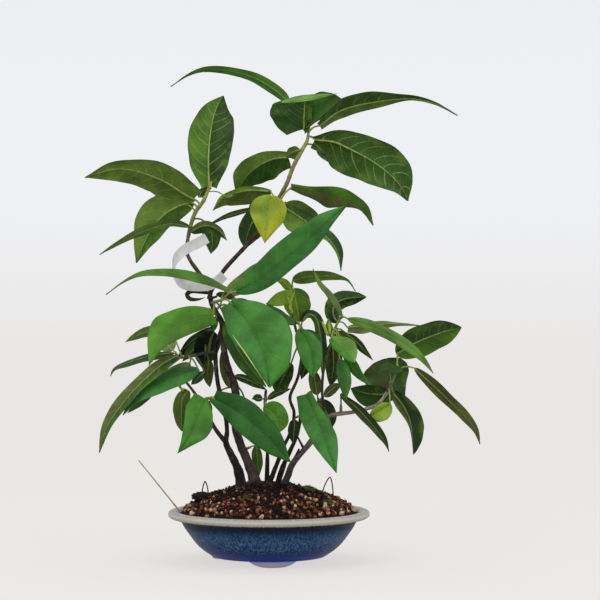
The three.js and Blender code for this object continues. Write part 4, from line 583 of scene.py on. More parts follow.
def smooth_shade(made, sharp):
    """Shades a piece smooth, but for edges sharper than so many degrees."""
    bpy.ops.object.select_all(action="DESELECT")
    made.select_set(True)
    bpy.context.view_layer.objects.active = made
    bpy.ops.object.shade_smooth_by_angle(angle=math.radians(sharp))
    made.select_set(False)


def settle(made, nodes):
    """A finished piece rides on the part's one body and stands for its solids."""
    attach(made, BODY)
    if nodes:
        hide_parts(*nodes)


def turned(name, profile, steps, start=0, sweep=360):
    """Turns a profile of (radius, height) in mm about the pot's axis, as on a wheel."""
    first = profile[0]
    bpy.ops.object.select_all(action="DESELECT")
    bpy.ops.mesh.primitive_plane_add(size=MM, location=(AXIS.x + first[0] * MM, AXIS.y, first[1] * MM))
    made = bpy.context.object
    made.name = name
    bpy.ops.object.transform_apply(location=True, rotation=True, scale=True)
    bpy.ops.object.mode_set(mode="EDIT")
    bpy.ops.mesh.select_all(action="SELECT")
    bpy.ops.mesh.merge(type="CENTER")
    for before, after in zip(profile, profile[1:]):
        step = ((after[0] - before[0]) * MM, 0, (after[1] - before[1]) * MM)
        bpy.ops.mesh.extrude_region_move(TRANSFORM_OT_translate={"value": step})
    bpy.ops.mesh.select_all(action="SELECT")
    if start:
        # A turn here runs clockwise, and about the centre that it is given
        bpy.ops.transform.rotate(value=-math.radians(start), orient_axis="Z", center_override=AXIS)
    bpy.ops.mesh.spin(steps=steps, angle=math.radians(sweep), center=AXIS, axis=(0, 0, 1))
    bpy.ops.mesh.select_all(action="SELECT")
    bpy.ops.mesh.remove_doubles(threshold=0.02 * MM)
    if sweep < 360:
        bpy.ops.mesh.select_all(action="DESELECT")
        bpy.ops.mesh.select_non_manifold(extend=False, use_wire=False, use_multi_face=False,
                                         use_non_contiguous=False, use_verts=False)
        bpy.ops.mesh.fill()
        bpy.ops.mesh.select_all(action="SELECT")
    bpy.ops.mesh.normals_make_consistent(inside=False)
    bpy.ops.object.mode_set(mode="OBJECT")
    made.select_set(False)
    return made


# Materials
MATH = "ShaderNodeMath"
MAP = "ShaderNodeMapRange"
MIX = "ShaderNodeMix"
NOISE = "ShaderNodeTexNoise"
CELLS = "ShaderNodeTexVoronoi"
SPLIT = "ShaderNodeSeparateXYZ"
SOFT = {"interpolation_type": "SMOOTHSTEP"}
TINTED = {"data_type": "RGBA"}
DARKENED = {"data_type": "RGBA", "blend_type": "MULTIPLY", 0: 1.0}


def add(tree, kind, settings=None, output=0):
    """Adds a node: each setting is a property, or the value or the source of one of its inputs."""
    node = tree.nodes.new(kind)
    for key, value in (settings or {}).items():
        if isinstance(value, bpy.types.NodeSocket):
            tree.links.new(value, node.inputs[key])
        elif isinstance(key, str) and hasattr(node, key):
            setattr(node, key, value)
        else:
            node.inputs[key].default_value = value
    return node.outputs[output] if node.outputs else node


def blank_finish(name):
    """A new material, its empty node tree, the object's own coordinates and the tint of its points."""
    material = bpy.data.materials.new(name)
    material.use_nodes = True
    tree = material.node_tree
    tree.nodes.clear()
    place = add(tree, "ShaderNodeTexCoord", output="Object")
    tint = add(tree, "ShaderNodeAttribute", {"attribute_name": "tint"}, "Color")
    return material, tree, place, tint


def surface(tree, settings, height, millimetres, strength):
    """Ends a material: its shader, with a relief of so many millimetres, and its output."""
    relief = add(tree, "ShaderNodeBump", {"Strength": strength, "Distance": millimetres * MM,
                                          "Height": height})
    shader = add(tree, "ShaderNodeBsdfPrincipled", settings | {"Normal": relief})
    add(tree, "ShaderNodeOutputMaterial", {"Surface": shader})


def grains_of(millimetres):
    """Scale of a noise or cell pattern whose features are about this wide, for coordinates in metres."""
    return 1 / (millimetres * MM)


def fig_blade(name, pale, spotted):
    """Leathery fig leaf: waxy above, with veins in faint furrows; dull below, with raised pale veins."""
    material, tree, place, tint = blank_finish(name)
    plan = add(tree, "ShaderNodeAttribute", {"attribute_name": "plan"}, "Vector")
    side, along, count = add(tree, SPLIT, {0: plan}).node.outputs
    blade = add(tree, "ShaderNodeAttribute", {"attribute_name": "blade"}, "Vector")
    part, share, veined = add(tree, SPLIT, {0: blade}).node.outputs
    clear = add(tree, MATH, {"operation": "ABSOLUTE", 0: veined})
    upper = add(tree, MAP, {0: veined, 1: -0.01, 2: 0.01, 3: 0.0, 4: 1.0})
    # Midrib: a millimetre wide at the base, a line at the tip
    reach = add(tree, MATH, {"operation": "ABSOLUTE", 0: side})
    slimming = add(tree, MAP, {0: share, 3: 1.0, 4: 2.6})
    slim = add(tree, MATH, {"operation": "MULTIPLY", 0: reach, 1: slimming})
    midrib = add(tree, MAP, SOFT | {0: slim, 1: 0.25, 2: 0.8, 3: 1.0, 4: 0.0})
    # Side veins: the third value counts them along the midrib; they thin out and fade short of the margin
    beside = add(tree, MATH, {"operation": "PINGPONG", 0: count, 1: 0.5})
    line = add(tree, MAP, SOFT | {0: beside, 1: 0.015, 2: 0.07, 3: 1.0, 4: 0.0})
    fading = add(tree, MAP, SOFT | {0: part, 1: 0.6, 2: 0.97, 3: 1.0, 4: 0.1})
    patchy = add(tree, NOISE, {"Vector": place, "Scale": grains_of(13), "Detail": 2.0})
    broken = add(tree, MAP, SOFT | {0: patchy, 1: 0.34, 2: 0.6, 3: 0.45, 4: 1.0})
    line = add(tree, MATH, {"operation": "MULTIPLY", 0: line, 1: fading})
    side_vein = add(tree, MATH, {"operation": "MULTIPLY", 0: line, 1: broken})
    # The net between them has meshes of about 2.5 mm, and is fainter still
    flat = add(tree, "ShaderNodeCombineXYZ", {0: side, 1: along})
    mesh = add(tree, CELLS, {"feature": "DISTANCE_TO_EDGE", "Scale": 0.42, "Vector": flat})
    net = add(tree, MAP, SOFT | {0: mesh, 1: 0.02, 2: 0.16, 3: 0.16, 4: 0.0})
    vein = add(tree, MATH, {"operation": "MAXIMUM", 0: midrib, 1: side_vein})
    vein = add(tree, MATH, {"operation": "MAXIMUM", 0: vein, 1: net})
    shown = add(tree, MATH, {"operation": "MULTIPLY", 0: vein, 1: clear})
    # Slow drift of the green over 24 mm, partly the leaf's own uneven colour and partly painted shade of
    # its waves and folds, and a finer mottle between the veins
    drift = add(tree, NOISE, {"Vector": place, "Scale": grains_of(24), "Detail": 2.0})
    drift = add(tree, MAP, SOFT | {0: drift, 1: 0.3, 2: 0.7, 3: 0.68, 4: 1.2})
    mottle = add(tree, NOISE, {"Vector": place, "Scale": grains_of(2.4), "Detail": 4.0, "Roughness": 0.65})
    fine = add(tree, MAP, SOFT | {0: mottle, 1: 0.3, 2: 0.7, 3: 0.92, 4: 1.08})
    drift = add(tree, MATH, {"operation": "MULTIPLY", 0: drift, 1: fine})
    shaded = add(tree, MIX, DARKENED | {6: tint, 7: drift}, 2)
    # Below, the outer part of the blade is sunnier in patches, where light comes through
    outer = add(tree, MAP, SOFT | {0: part, 1: 0.25, 2: 0.9, 3: 0.0, 4: 0.55})
    below = add(tree, MATH, {"operation": "SUBTRACT", 0: 1.0, 1: upper})
    outer = add(tree, MATH, {"operation": "MULTIPLY", 0: outer, 1: below})
    patch = add(tree, MAP, SOFT | {0: patchy, 1: 0.46, 2: 0.66})
    patch = add(tree, MATH, {"operation": "MULTIPLY", 0: patch, 1: outer})
    sunny = add(tree, MIX, TINTED | {"blend_type": "SCREEN", 0: 0.32, 6: shaded, 7: linear("#9BC83C")}, 2)
    colour = add(tree, MIX, TINTED | {0: patch, 6: shaded, 7: sunny}, 2)
    # A fold of shadow runs beside the midrib, and the very margin is dark
    furrow = add(tree, MAP, SOFT | {0: reach, 1: 0.4, 2: 2.2, 3: 0.95, 4: 1.0})
    margin = add(tree, MAP, SOFT | {0: part, 1: 0.955, 2: 1.0, 3: 1.0, 4: 0.5})
    dim = add(tree, MATH, {"operation": "MULTIPLY", 0: furrow, 1: margin})
    colour = add(tree, MIX, DARKENED | {6: colour, 7: dim}, 2)
    light = add(tree, MIX, TINTED | {0: 0.6, 6: colour, 7: linear(pale)}, 2)
    colour = add(tree, MIX, TINTED | {0: shown, 6: colour, 7: light}, 2)
    if spotted:
        # It ripens to yellow from its tip and margin
        ripe = add(tree, MAP, SOFT | {0: share, 1: 0.25, 2: 0.95, 3: 0.0, 4: 0.65})
        uneven = add(tree, MAP, SOFT | {0: patchy, 1: 0.3, 2: 0.6, 3: 0.6, 4: 1.0})
        ripe = add(tree, MATH, {"operation": "MULTIPLY", 0: ripe, 1: uneven})
        colour = add(tree, MIX, TINTED | {0: ripe, 6: colour, 7: linear("#C9C42C")}, 2)
        # Dark specks of a leaf on its way to falling, under a millimetre wide
        cells = add(tree, CELLS, {"Scale": grains_of(3.2), "Vector": place})
        speck = add(tree, MAP, SOFT | {0: cells, 1: 0.1, 2: 0.2, 3: 0.75, 4: 0.0})
        colour = add(tree, MIX, TINTED | {0: speck, 6: colour, 7: linear("#4A4416")}, 2)
    # The upper face is waxy and takes a soft shine, the lower one is dull
    gloss = add(tree, MAP, {0: upper, 3: 0.64, 4: 0.44})
    rough = add(tree, MAP, {0: mottle, 1: 0.3, 2: 0.7, 3: -0.05, 4: 0.07})
    gloss = add(tree, MATH, {"operation": "ADD", 0: gloss, 1: rough})
    # Veins stand out below and lie in grooves above
    out = add(tree, MAP, {0: upper, 3: 0.8, 4: -0.35})
    height = add(tree, MATH, {"operation": "MULTIPLY", 0: vein, 1: out})
    pebble = add(tree, MATH, {"operation": "MULTIPLY", 0: mottle, 1: 0.3})
    height = add(tree, MATH, {"operation": "ADD", 0: height, 1: pebble})
    surface(tree, {"Base Color": colour, "Roughness": gloss, "Specular IOR Level": 0.22}, height, 0.35, 0.7)
    return material


def green_bark():
    """Skin of young twigs and leaf stalks: smooth and faintly mottled, with pale pores and a soft shine."""
    material, tree, place, tint = blank_finish("green_bark_of_young_shoots")
    grain = add(tree, NOISE, {"Vector": place, "Scale": grains_of(4), "Detail": 3.0})
    drift = add(tree, MAP, SOFT | {0: grain, 1: 0.3, 2: 0.7, 3: 0.72, 4: 1.2})
    colour = add(tree, MIX, DARKENED | {6: tint, 7: drift}, 2)
    dots = add(tree, CELLS, {"Scale": grains_of(2.2), "Vector": place})
    pores = add(tree, MAP, SOFT | {0: dots, 1: 0.08, 2: 0.2, 3: 0.35, 4: 0.0})
    colour = add(tree, MIX, TINTED | {0: pores, 6: colour, 7: linear("#C3BE86")}, 2)
    surface(tree, {"Base Color": colour, "Roughness": 0.5}, grain, 0.15, 0.6)
    return material


def old_bark():
    """Thin dark fig bark: black in its cracks, grey-brown in patches that are partly a painted highlight,
    with pale pores a millimetre wide.
    """
    material, tree, place, tint = blank_finish("old_fig_bark")
    # Its plan goes round and along the stem in mm: cracks lie 1.3 mm apart and run along it
    plan = add(tree, "ShaderNodeAttribute", {"attribute_name": "plan"}, "Vector")
    along = add(tree, "ShaderNodeMapping", {"Scale": (1.0, 0.28, 1.0), "Vector": plan})
    cracks = add(tree, NOISE, {"Scale": 0.75, "Detail": 5.0, "Roughness": 0.65, "Vector": along})
    cracked = add(tree, MAP, SOFT | {0: cracks, 1: 0.36, 2: 0.58, 3: 0.3, 4: 1.15})
    colour = add(tree, MIX, DARKENED | {6: tint, 7: cracked}, 2)
    # Grey-brown patches: partly the bark's own colour, partly painted highlight
    patches = add(tree, NOISE, {"Vector": place, "Scale": grains_of(8), "Detail": 4.0})
    patches = add(tree, MAP, SOFT | {0: patches, 1: 0.5, 2: 0.72, 3: 0.0, 4: 0.4})
    colour = add(tree, MIX, TINTED | {0: patches, 6: colour, 7: linear("#7A6A66")}, 2)
    cells = add(tree, CELLS, {"Scale": 0.55, "Vector": plan})
    pores = add(tree, MAP, SOFT | {0: cells, 1: 0.12, 2: 0.24, 3: 0.5, 4: 0.0})
    colour = add(tree, MIX, TINTED | {0: pores, 6: colour, 7: linear("#9C8D78")}, 2)
    height = add(tree, MATH, {"operation": "ADD", 0: cracks, 1: pores})
    surface(tree, {"Base Color": colour, "Roughness": 0.8, "Specular IOR Level": 0.25}, height, 0.7, 0.9)
    return material


# The glaze on the wall from the foot up to the lip: the share of its height, and its colour there. The
# lighter middle is a painted highlight band, and the near-black just under the lip is the lip's painted
# shadow
WALL_BLUES = [(0.0, "#033090"), (0.2, "#02225C"), (0.5, "#1C4472"), (0.85, "#123A60"), (1.0, "#081626")]


def blue_glaze():
    """Stoneware glaze: deep blue with fine runs, cobalt where it is thick, warm grey on the lip."""
    material, tree, place, _ = blank_finish("blue_stoneware_glaze")
    height = add(tree, SPLIT, {0: place}).node.outputs[2]
    stretched = add(tree, "ShaderNodeMapping", {"Scale": (1.0, 1.0, 0.16), "Vector": place})
    streaks = add(tree, NOISE, {"Vector": stretched, "Scale": grains_of(2.2), "Detail": 5.0,
                                "Roughness": 0.7})
    mottle = add(tree, NOISE, {"Vector": place, "Scale": grains_of(1.6), "Detail": 3.0, "Roughness": 0.7})
    # The height at which one colour gives way to the next wanders by a millimetre or two with the streaks
    wander = add(tree, MAP, {0: streaks, 1: 0.25, 2: 0.75, 3: -1.6 * MM, 4: 1.6 * MM})
    level = add(tree, MATH, {"operation": "ADD", 0: height, 1: wander})
    depth = add(tree, MAP, SOFT | {0: level, 1: 6 * MM, 2: 43 * MM})
    body = add(tree, "ShaderNodeValToRGB", {0: depth})
    stops = body.node.color_ramp.elements
    for at, code in WALL_BLUES:
        stop = stops[0] if at == 0 else stops[-1] if at == 1 else stops.new(at)
        stop.position = at
        stop.color = linear(code)
    # The pale streaks are partly the glaze's runs and partly a painted reflection: they show palest round
    # the middle of the wall, and run out below and above it
    share = add(tree, MAP, SOFT | {0: streaks, 1: 0.4, 2: 0.68, 3: 0.0, 4: 0.7})
    beside = add(tree, MATH, {"operation": "SUBTRACT", 0: level, 1: 25 * MM})
    beside = add(tree, MATH, {"operation": "ABSOLUTE", 0: beside})
    middle = add(tree, MAP, SOFT | {0: beside, 1: 3 * MM, 2: 15 * MM, 3: 1.0, 4: 0.12})
    share = add(tree, MATH, {"operation": "MULTIPLY", 0: share, 1: middle})
    colour = add(tree, MIX, TINTED | {0: share, 6: body, 7: linear("#6A8EB8")}, 2)
    share = add(tree, MAP, SOFT | {0: mottle, 1: 0.56, 2: 0.7, 3: 0.0, 4: 0.4})
    colour = add(tree, MIX, TINTED | {0: share, 6: colour, 7: linear("#081130")}, 2)
    sparkle = add(tree, CELLS, {"Scale": grains_of(2.4), "Vector": place})
    share = add(tree, MAP, SOFT | {0: sparkle, 1: 0.07, 2: 0.17, 3: 0.4, 4: 0.0})
    colour = add(tree, MIX, TINTED | {0: share, 6: colour, 7: linear("#6C86B4")}, 2)
    # The lip and the inside are a warm grey, where the glaze has run thin off the rim
    share = add(tree, MAP, SOFT | {0: mottle, 1: 0.35, 2: 0.65})
    pale = add(tree, MIX, TINTED | {0: share, 6: linear("#B9B4A8"), 7: linear("#98948C")}, 2)
    share = add(tree, MAP, SOFT | {0: streaks, 1: 0.52, 2: 0.72, 3: 0.0, 4: 0.5})
    pale = add(tree, MIX, TINTED | {0: share, 6: pale, 7: linear("#CAC4B6")}, 2)
    # The outer face of the lip is painted paler than its top: painted light, where the lamps in front fall
    # on it
    share = add(tree, MAP, SOFT | {0: height, 1: 48.4 * MM, 2: 50.2 * MM, 3: 0.75, 4: 0.0})
    pale = add(tree, MIX, TINTED | {0: share, 6: pale, 7: linear("#D2CDC2")}, 2)
    share = add(tree, MAP, SOFT | {0: level, 1: 43.6 * MM, 2: 45.0 * MM})
    colour = add(tree, MIX, TINTED | {0: share, 6: colour, 7: pale}, 2)
    # A pale line where the glaze ends above the feet, partly a painted highlight along that edge, and the
    # feet in a thin wash
    share = add(tree, MAP, SOFT | {0: height, 1: 5.0 * MM, 2: 6.8 * MM, 3: 0.8, 4: 0.0})
    colour = add(tree, MIX, TINTED | {0: share, 6: colour, 7: linear("#B4B4CC")}, 2)
    gloss = add(tree, MAP, SOFT | {0: mottle, 1: 0.3, 2: 0.7, 3: 0.26, 4: 0.42})
    relief = add(tree, MATH, {"operation": "ADD", 0: mottle, 1: streaks})
    surface(tree, {"Base Color": colour, "Roughness": gloss, "Coat Weight": 0.03, "Coat Roughness": 0.12,
                   "Specular IOR Level": 0.08}, relief, 0.25, 0.5)
    return material


def fired_grains():
    """Hard baked clay and pumice grains: matt, dusty and pitted."""
    material, tree, place, tint = blank_finish("baked_clay_and_pumice_grains")
    dust = add(tree, NOISE, {"Vector": place, "Scale": grains_of(1.2), "Detail": 4.0, "Roughness": 0.7})
    dusty = add(tree, MAP, SOFT | {0: dust, 1: 0.3, 2: 0.7, 3: 0.6, 4: 1.3})
    colour = add(tree, MIX, DARKENED | {6: tint, 7: dusty}, 2)
    pits = add(tree, NOISE, {"Vector": place, "Scale": grains_of(0.6), "Detail": 4.0, "Roughness": 0.7})
    surface(tree, {"Base Color": colour, "Roughness": 0.93, "Specular IOR Level": 0.2}, pits, 0.5, 0.9)
    return material


def plain_finish(name, base, second, millimetres, relief, settings):
    """A finish of two near colours drifting into each other, with a little relief of the same grain."""
    material, tree, place, _ = blank_finish(name)
    grain = add(tree, NOISE, {"Vector": place, "Scale": grains_of(millimetres), "Detail": 4.0,
                              "Roughness": 0.6})
    share = add(tree, MAP, SOFT | {0: grain, 1: 0.3, 2: 0.7})
    colour = add(tree, MIX, TINTED | {0: share, 6: linear(base), 7: linear(second)}, 2)
    surface(tree, settings | {"Base Color": colour}, grain, relief, 0.8)
    return material


# Pot
PROFILE_SAMPLES = 96
BOWL_STEPS = 144
FOOT_STEPS = 20
FIRST_FOOT = -85


def pot():
    """A bowl turned with its rolled lip and drain hole, on three feet, in one glaze."""
    wall_top = POT_HEIGHT - LIP_DEPTH
    inner = RIM_RADIUS - LIP_WIDTH
    # Radius and height from the drain hole out under the floor, up the wall, over the lip and back inside
    profile = [
        [DRAIN_RADIUS, FOOT_HEIGHT], [BASE_RADIUS - 1, FOOT_HEIGHT], [BASE_RADIUS + 0.6, FOOT_HEIGHT + 0.3],
        [BASE_RADIUS + 2.2, FOOT_HEIGHT + 1.4], [66, 12], [73, 18.5], [79.5, 27], [84.5, 34], [88, 40],
        [91, wall_top - 1], [93.5, wall_top - 0.6], [98, wall_top], [RIM_RADIUS - 0.5, wall_top + 1.8],
        [RIM_RADIUS - 0.05, POT_HEIGHT - 3.4], [RIM_RADIUS - 1.2, POT_HEIGHT - 1],
        [RIM_RADIUS - 3.6, POT_HEIGHT - 0.05], [inner + 2, POT_HEIGHT - 0.4], [inner, POT_HEIGHT - 2],
        [88.5, 45], [84, 39], [84.5 - WALL, 33], [79.5 - WALL, 26], [73 - WALL, 18.6], [60, FLOOR_TOP],
        [DRAIN_RADIUS, FLOOR_TOP], [DRAIN_RADIUS, FOOT_HEIGHT],
    ]
    line = rounded(profile[1:-2], PROFILE_SAMPLES)
    bowl = turned("pot_bowl", profile[:1] + line + profile[-2:], BOWL_STEPS)
    # The same for the section of a foot, which ends inside the floor
    section = [[49, 7.5], [49, 1.6], [49.5, 0.5], [50.5, 0], [55.8, 0], [56.9, 0.5], [57.4, 1.6],
               [57.5, 7.5]]
    feet = []
    for k in range(3):
        middle = FIRST_FOOT + 120 * k
        foot = turned(f"pot_foot_{k}", section + section[:1], FOOT_STEPS,
                      start=middle + FOOT_SPREAD, sweep=2 * FOOT_SPREAD)
        # Each foot thins out to its ends like a lens
        for vertex in foot.data.vertices:
            away = vertex.co - AXIS
            turn = abs((math.degrees(math.atan2(away.y, away.x)) - middle + 180) % 360 - 180) / FOOT_SPREAD
            rise = FOOT_HEIGHT * MM * min(1, turn) ** 3
            vertex.co.z = rise + vertex.co.z * (1 - rise / (section[0][1] * MM))
        feet.append(foot)
    bpy.ops.object.select_all(action="DESELECT")
    for made in (bowl, *feet):
        made.select_set(True)
    bpy.context.view_layer.objects.active = bowl
    bpy.ops.object.join()
    bowl.name = bowl.data.name = "glazed_pot"
    bowl.data.materials.append(blue_glaze())
    # Hand-thrown: beyond the floor, it is out of round by a few tenths of a millimetre
    for vertex in bowl.data.vertices:
        away = (vertex.co - AXIS) * Vector((1, 1, 0))
        if away.length > 60 * MM:
            wobble = 0.25 * MM * (noise.noise(vertex.co / (30 * MM)) - 0.5)
            vertex.co += away.normalized() * wobble
    smooth_shade(bowl, 40)
    settle(bowl, ["pot"])


# Soil
def soil_height(x, y):
    """Height of the mound at a place in mm from the pot's axis, with its clods."""
    radius = np.minimum(np.hypot(x, y), SOIL_RADIUS - 0.01)
    mound = SOIL_EDGE_Z + SOIL_RISE * (1 - (radius / SOIL_RADIUS) ** 2) ** 0.8
    clods = (0.9 * np.sin(0.33 * x + 0.21 * y) + 0.7 * np.sin(0.19 * x - 0.37 * y + 1.3)
             + 0.6 * np.sin(0.61 * x + 0.5 * y + 2.1))
    return mound + clods * np.minimum(1, (SOIL_RADIUS - radius) / 14)


# Colours of the grains with how common each is; most pale ones near the stems are brown instead
GRAINS = [
    ("#6E3A26", 24), ("#8C5A3C", 20), ("#44241A", 20), ("#1E1212", 12), ("#B08460", 16), ("#D2B890", 8),
]
PALE_GRAINS = ("#B08460", "#D2B890")
INNER_GRAIN = "#5C3424"
GRAIN_COUNT = 1900
CRUMB_COUNT = 3000
HEAPED_CRUMBS = 1100
CRUMBS = ["#140E0D", "#201614", "#2C1D18", "#3B261D", "#4C3022", "#241C22"]
# Darker, damper soil with few grains: places of the front view on the mound, and how far it spreads
DAMP = [
    ([248, 505], 15), ([304, 505], 14), ([262, 492], 27), ([226, 497], 14), ([322, 500], 9),
    ([203, 508], 13), ([282, 503], 10),
]
MOUND_SIDES = 120


def grain_shape(corners, seed, fineness=2):
    """One grain: a ball cut off by flat breaks."""
    bpy.ops.mesh.primitive_ico_sphere_add(subdivisions=fineness, radius=1)
    points, faces = taken_apart(bpy.context.object)
    pick = random.Random(seed)
    for _ in range(corners):
        normal = Vector([pick.gauss(0, 1) for _ in range(3)]).normalized()
        far = np.maximum(0, points @ np.array(normal) - pick.uniform(0.5, 0.8))
        points -= far[:, None] * np.array(normal)
    return points, faces


def scatter(shell, shapes, place, size, code):
    """Lays one grain at a place in mm from the foot of the pot's axis, turned and flattened at random."""
    shape, faces = draw.choice(shapes)
    turn = np.array(Euler([draw.uniform(0, 6.28) for _ in range(3)]).to_matrix())
    flatten = np.array([1, draw.uniform(0.75, 1), draw.uniform(0.6, 0.9)])
    grain = (shape * flatten) @ turn.T * size + np.asarray(place)
    shell.add(grain * MM + np.array(AXIS), faces, linear(code))


def soil():
    """The mound that fills the pot, and the baked grains lying in its top."""
    shell = Shell()
    # The mound itself, its edge tucked under the lip and its underside in the pot
    rings = np.concatenate([np.linspace(2, 84, 42), [86.4, 88.2]])
    under = [[87.6, 44.6], [83.2, 39], [79.3, 33], [74.3, 26], [67.2, 18.6], [59.3, FLOOR_TOP + 0.6]]
    sides = MOUND_SIDES
    turn = 2 * np.pi * np.arange(sides) / sides
    loops = [np.stack([r * np.cos(turn), r * np.sin(turn),
                       soil_height(r * np.cos(turn), r * np.sin(turn)) - 1.2], -1) for r in rings]
    loops += [np.stack([r * np.cos(turn), r * np.sin(turn), np.full(sides, z)], -1) for r, z in under]
    points = np.vstack([[[0, 0, soil_height(0, 0) - 1.2]], *loops, [[0, 0, FLOOR_TOP + 0.6]]])
    faces = []
    for k in range(sides):
        after = (k + 1) % sides
        faces.append((0, 1 + k, 1 + after))
        for i in range(len(loops) - 1):
            a = 1 + i * sides
            faces.append((a + k, a + sides + k, a + sides + after, a + after))
        last = 1 + (len(loops) - 1) * sides
        faces.append((len(points) - 1, last + after, last + k))
    shell.add(points * MM + np.array(AXIS), faces, linear("#1A1110"))
    # Grains of 2.5 to 6 mm lie half in it: few and dark by the stems, large and pale in the near band
    shapes = [grain_shape(6, seed) for seed in range(8)]
    weights = [share for _, share in GRAINS]
    damp = [(seen([*place, 0])[0] / MM - AXIS.x / MM, spread) for place, spread in DAMP]
    for _ in range(GRAIN_COUNT):
        radius = 85.5 * math.sqrt(draw.random())
        angle = draw.uniform(0, 2 * math.pi)
        x, y = radius * math.cos(angle), radius * math.sin(angle)
        wet = any(math.hypot(x - cx, (y + 6) / 2.4) < spread for cx, spread in damp)
        outer = max(0, radius / 86 - 0.45) * 1.8
        if wet and draw.random() < 0.75 - 0.4 * outer:
            continue
        size = draw.triangular(1.2, 2.4 + 1.3 * outer, 1.7 + 0.8 * outer)
        code = draw.choices([c for c, _ in GRAINS], weights)[0]
        if draw.random() > 0.35 + outer and code in PALE_GRAINS:
            code = INNER_GRAIN
        scatter(shell, shapes, (x, y, float(soil_height(x, y)) + draw.uniform(-1.0, 0.3)), size, code)
    shell.piece("soil_grains", [fired_grains()], ["soil"], sharp=38)


def crumbs():
    """Fine dark crumbs between the grains, heaped over the damp soil and the foot of the stems."""
    shell = Shell()
    shapes = [grain_shape(3, seed, 1) for seed in range(20, 26)]
    stock = seen(CROWN_PLACE) / MM - np.array(AXIS) / MM
    for _ in range(CRUMB_COUNT):
        radius = 85 * math.sqrt(draw.random())
        angle = draw.uniform(0, 2 * math.pi)
        x, y = radius * math.cos(angle), radius * math.sin(angle)
        scatter(shell, shapes, (x, y, float(soil_height(x, y)) + draw.uniform(-0.5, 0.6)),
                draw.uniform(0.5, 1.5), draw.choice(CRUMBS))
    for _ in range(HEAPED_CRUMBS):
        angle = draw.uniform(0, 2 * math.pi)
        away = draw.uniform(0.72, 1.35)
        x = stock[0] + CROWN_REACH[0] * away * math.cos(angle)
        y = stock[1] + CROWN_REACH[1] * away * math.sin(angle)
        dome = CROWN_MIDDLE + CROWN_REACH[2] * math.sqrt(max(0, 1 - away ** 2))
        z = max(float(soil_height(x, y)), dome) + draw.uniform(-0.6, 0.9)
        scatter(shell, shapes, (x, y, z), draw.uniform(0.6, 2.0), draw.choice(CRUMBS[:4]))
    shell.piece("soil_crumbs", [fired_grains()], [], sharp=38)


def on_soil(across, down):
    """The place on the mound's near slope that the front view shows at this point."""
    for depth in np.arange(-88, 60, 0.5):
        place = seen([across, down, depth]) / MM
        x, y = place[0] - AXIS.x / MM, place[1] - AXIS.y / MM
        if math.hypot(x, y) < 88 and place[2] <= soil_height(x, y):
            break
    return place


# Moss: middles of its patches in the front view, how far each spreads, and how many shoots stand in it
MOSS_PATCHES = [([310, 491], 9, 170), ([244, 500], 4, 26), ([330, 505], 5, 30)]
MOSS_GREENS = ["#5E6A2A", "#6F7A34", "#48541F", "#7C7B3A"]
MOSS_LEAF_FACES = [(0, 1, 2), (1, 3, 2), (3, 0, 2), (1, 0, 3)]
MOSS_LEAVES = 5
MOSS_TURN = 1.257


def moss():
    """Tufts of moss on the mound's right shoulder and a few by the stems: short leafy shoots."""
    shell = Shell()
    for (across, down), spread, count in MOSS_PATCHES:
        middle = on_soil(across, down)
        for _ in range(count):
            x = middle[0] + draw.gauss(0, spread / 2)
            y = middle[1] + draw.gauss(0, spread / 2)
            z = float(soil_height(x - AXIS.x / MM, y - AXIS.y / MM)) + 0.6
            lean = draw.uniform(0, 2 * math.pi)
            tall = draw.uniform(1.6, 3.4)
            code = draw.choice(MOSS_GREENS)
            for k in range(MOSS_LEAVES):
                turn = lean + k * MOSS_TURN
                tip = [x + 1.3 * math.cos(turn), y + 1.3 * math.sin(turn), z + tall * draw.uniform(0.6, 1)]
                left = [x + 0.45 * math.cos(turn + 1.6), y + 0.45 * math.sin(turn + 1.6), z]
                right = [x + 0.45 * math.cos(turn - 1.6), y + 0.45 * math.sin(turn - 1.6), z]
                inner = [x - 0.3 * math.cos(turn), y - 0.3 * math.sin(turn), z + 0.3]
                shell.add(np.array([left, right, tip, inner]) * MM, MOSS_LEAF_FACES, linear(code))
    shell.piece("moss_tufts", [green_bark()], [], sharp=60)


def feed_lump():
    """A dark crumbly cake of feed held on the soil by the left wire pin."""
    shell = Shell()
    bpy.ops.mesh.primitive_ico_sphere_add(subdivisions=5, radius=1)
    points, faces = taken_apart(bpy.context.object)
    rough = np.array([noise.fractal(Vector(p) * 2.6, 0.7, 2.1, 5) for p in points])
    middle = seen([203, 495, -3]) / MM
    ground = float(soil_height(middle[0] - AXIS.x / MM, middle[1] - AXIS.y / MM))
    middle[2] = ground + 1.2
    lump = points * (1 + 0.34 * rough[:, None]) * np.array([10.5, 7.5, 4.6]) + middle
    shell.add(lump * MM, faces, linear("#38281F"))
    shell.piece("feed_cake", [fired_grains()], [], sharp=80)


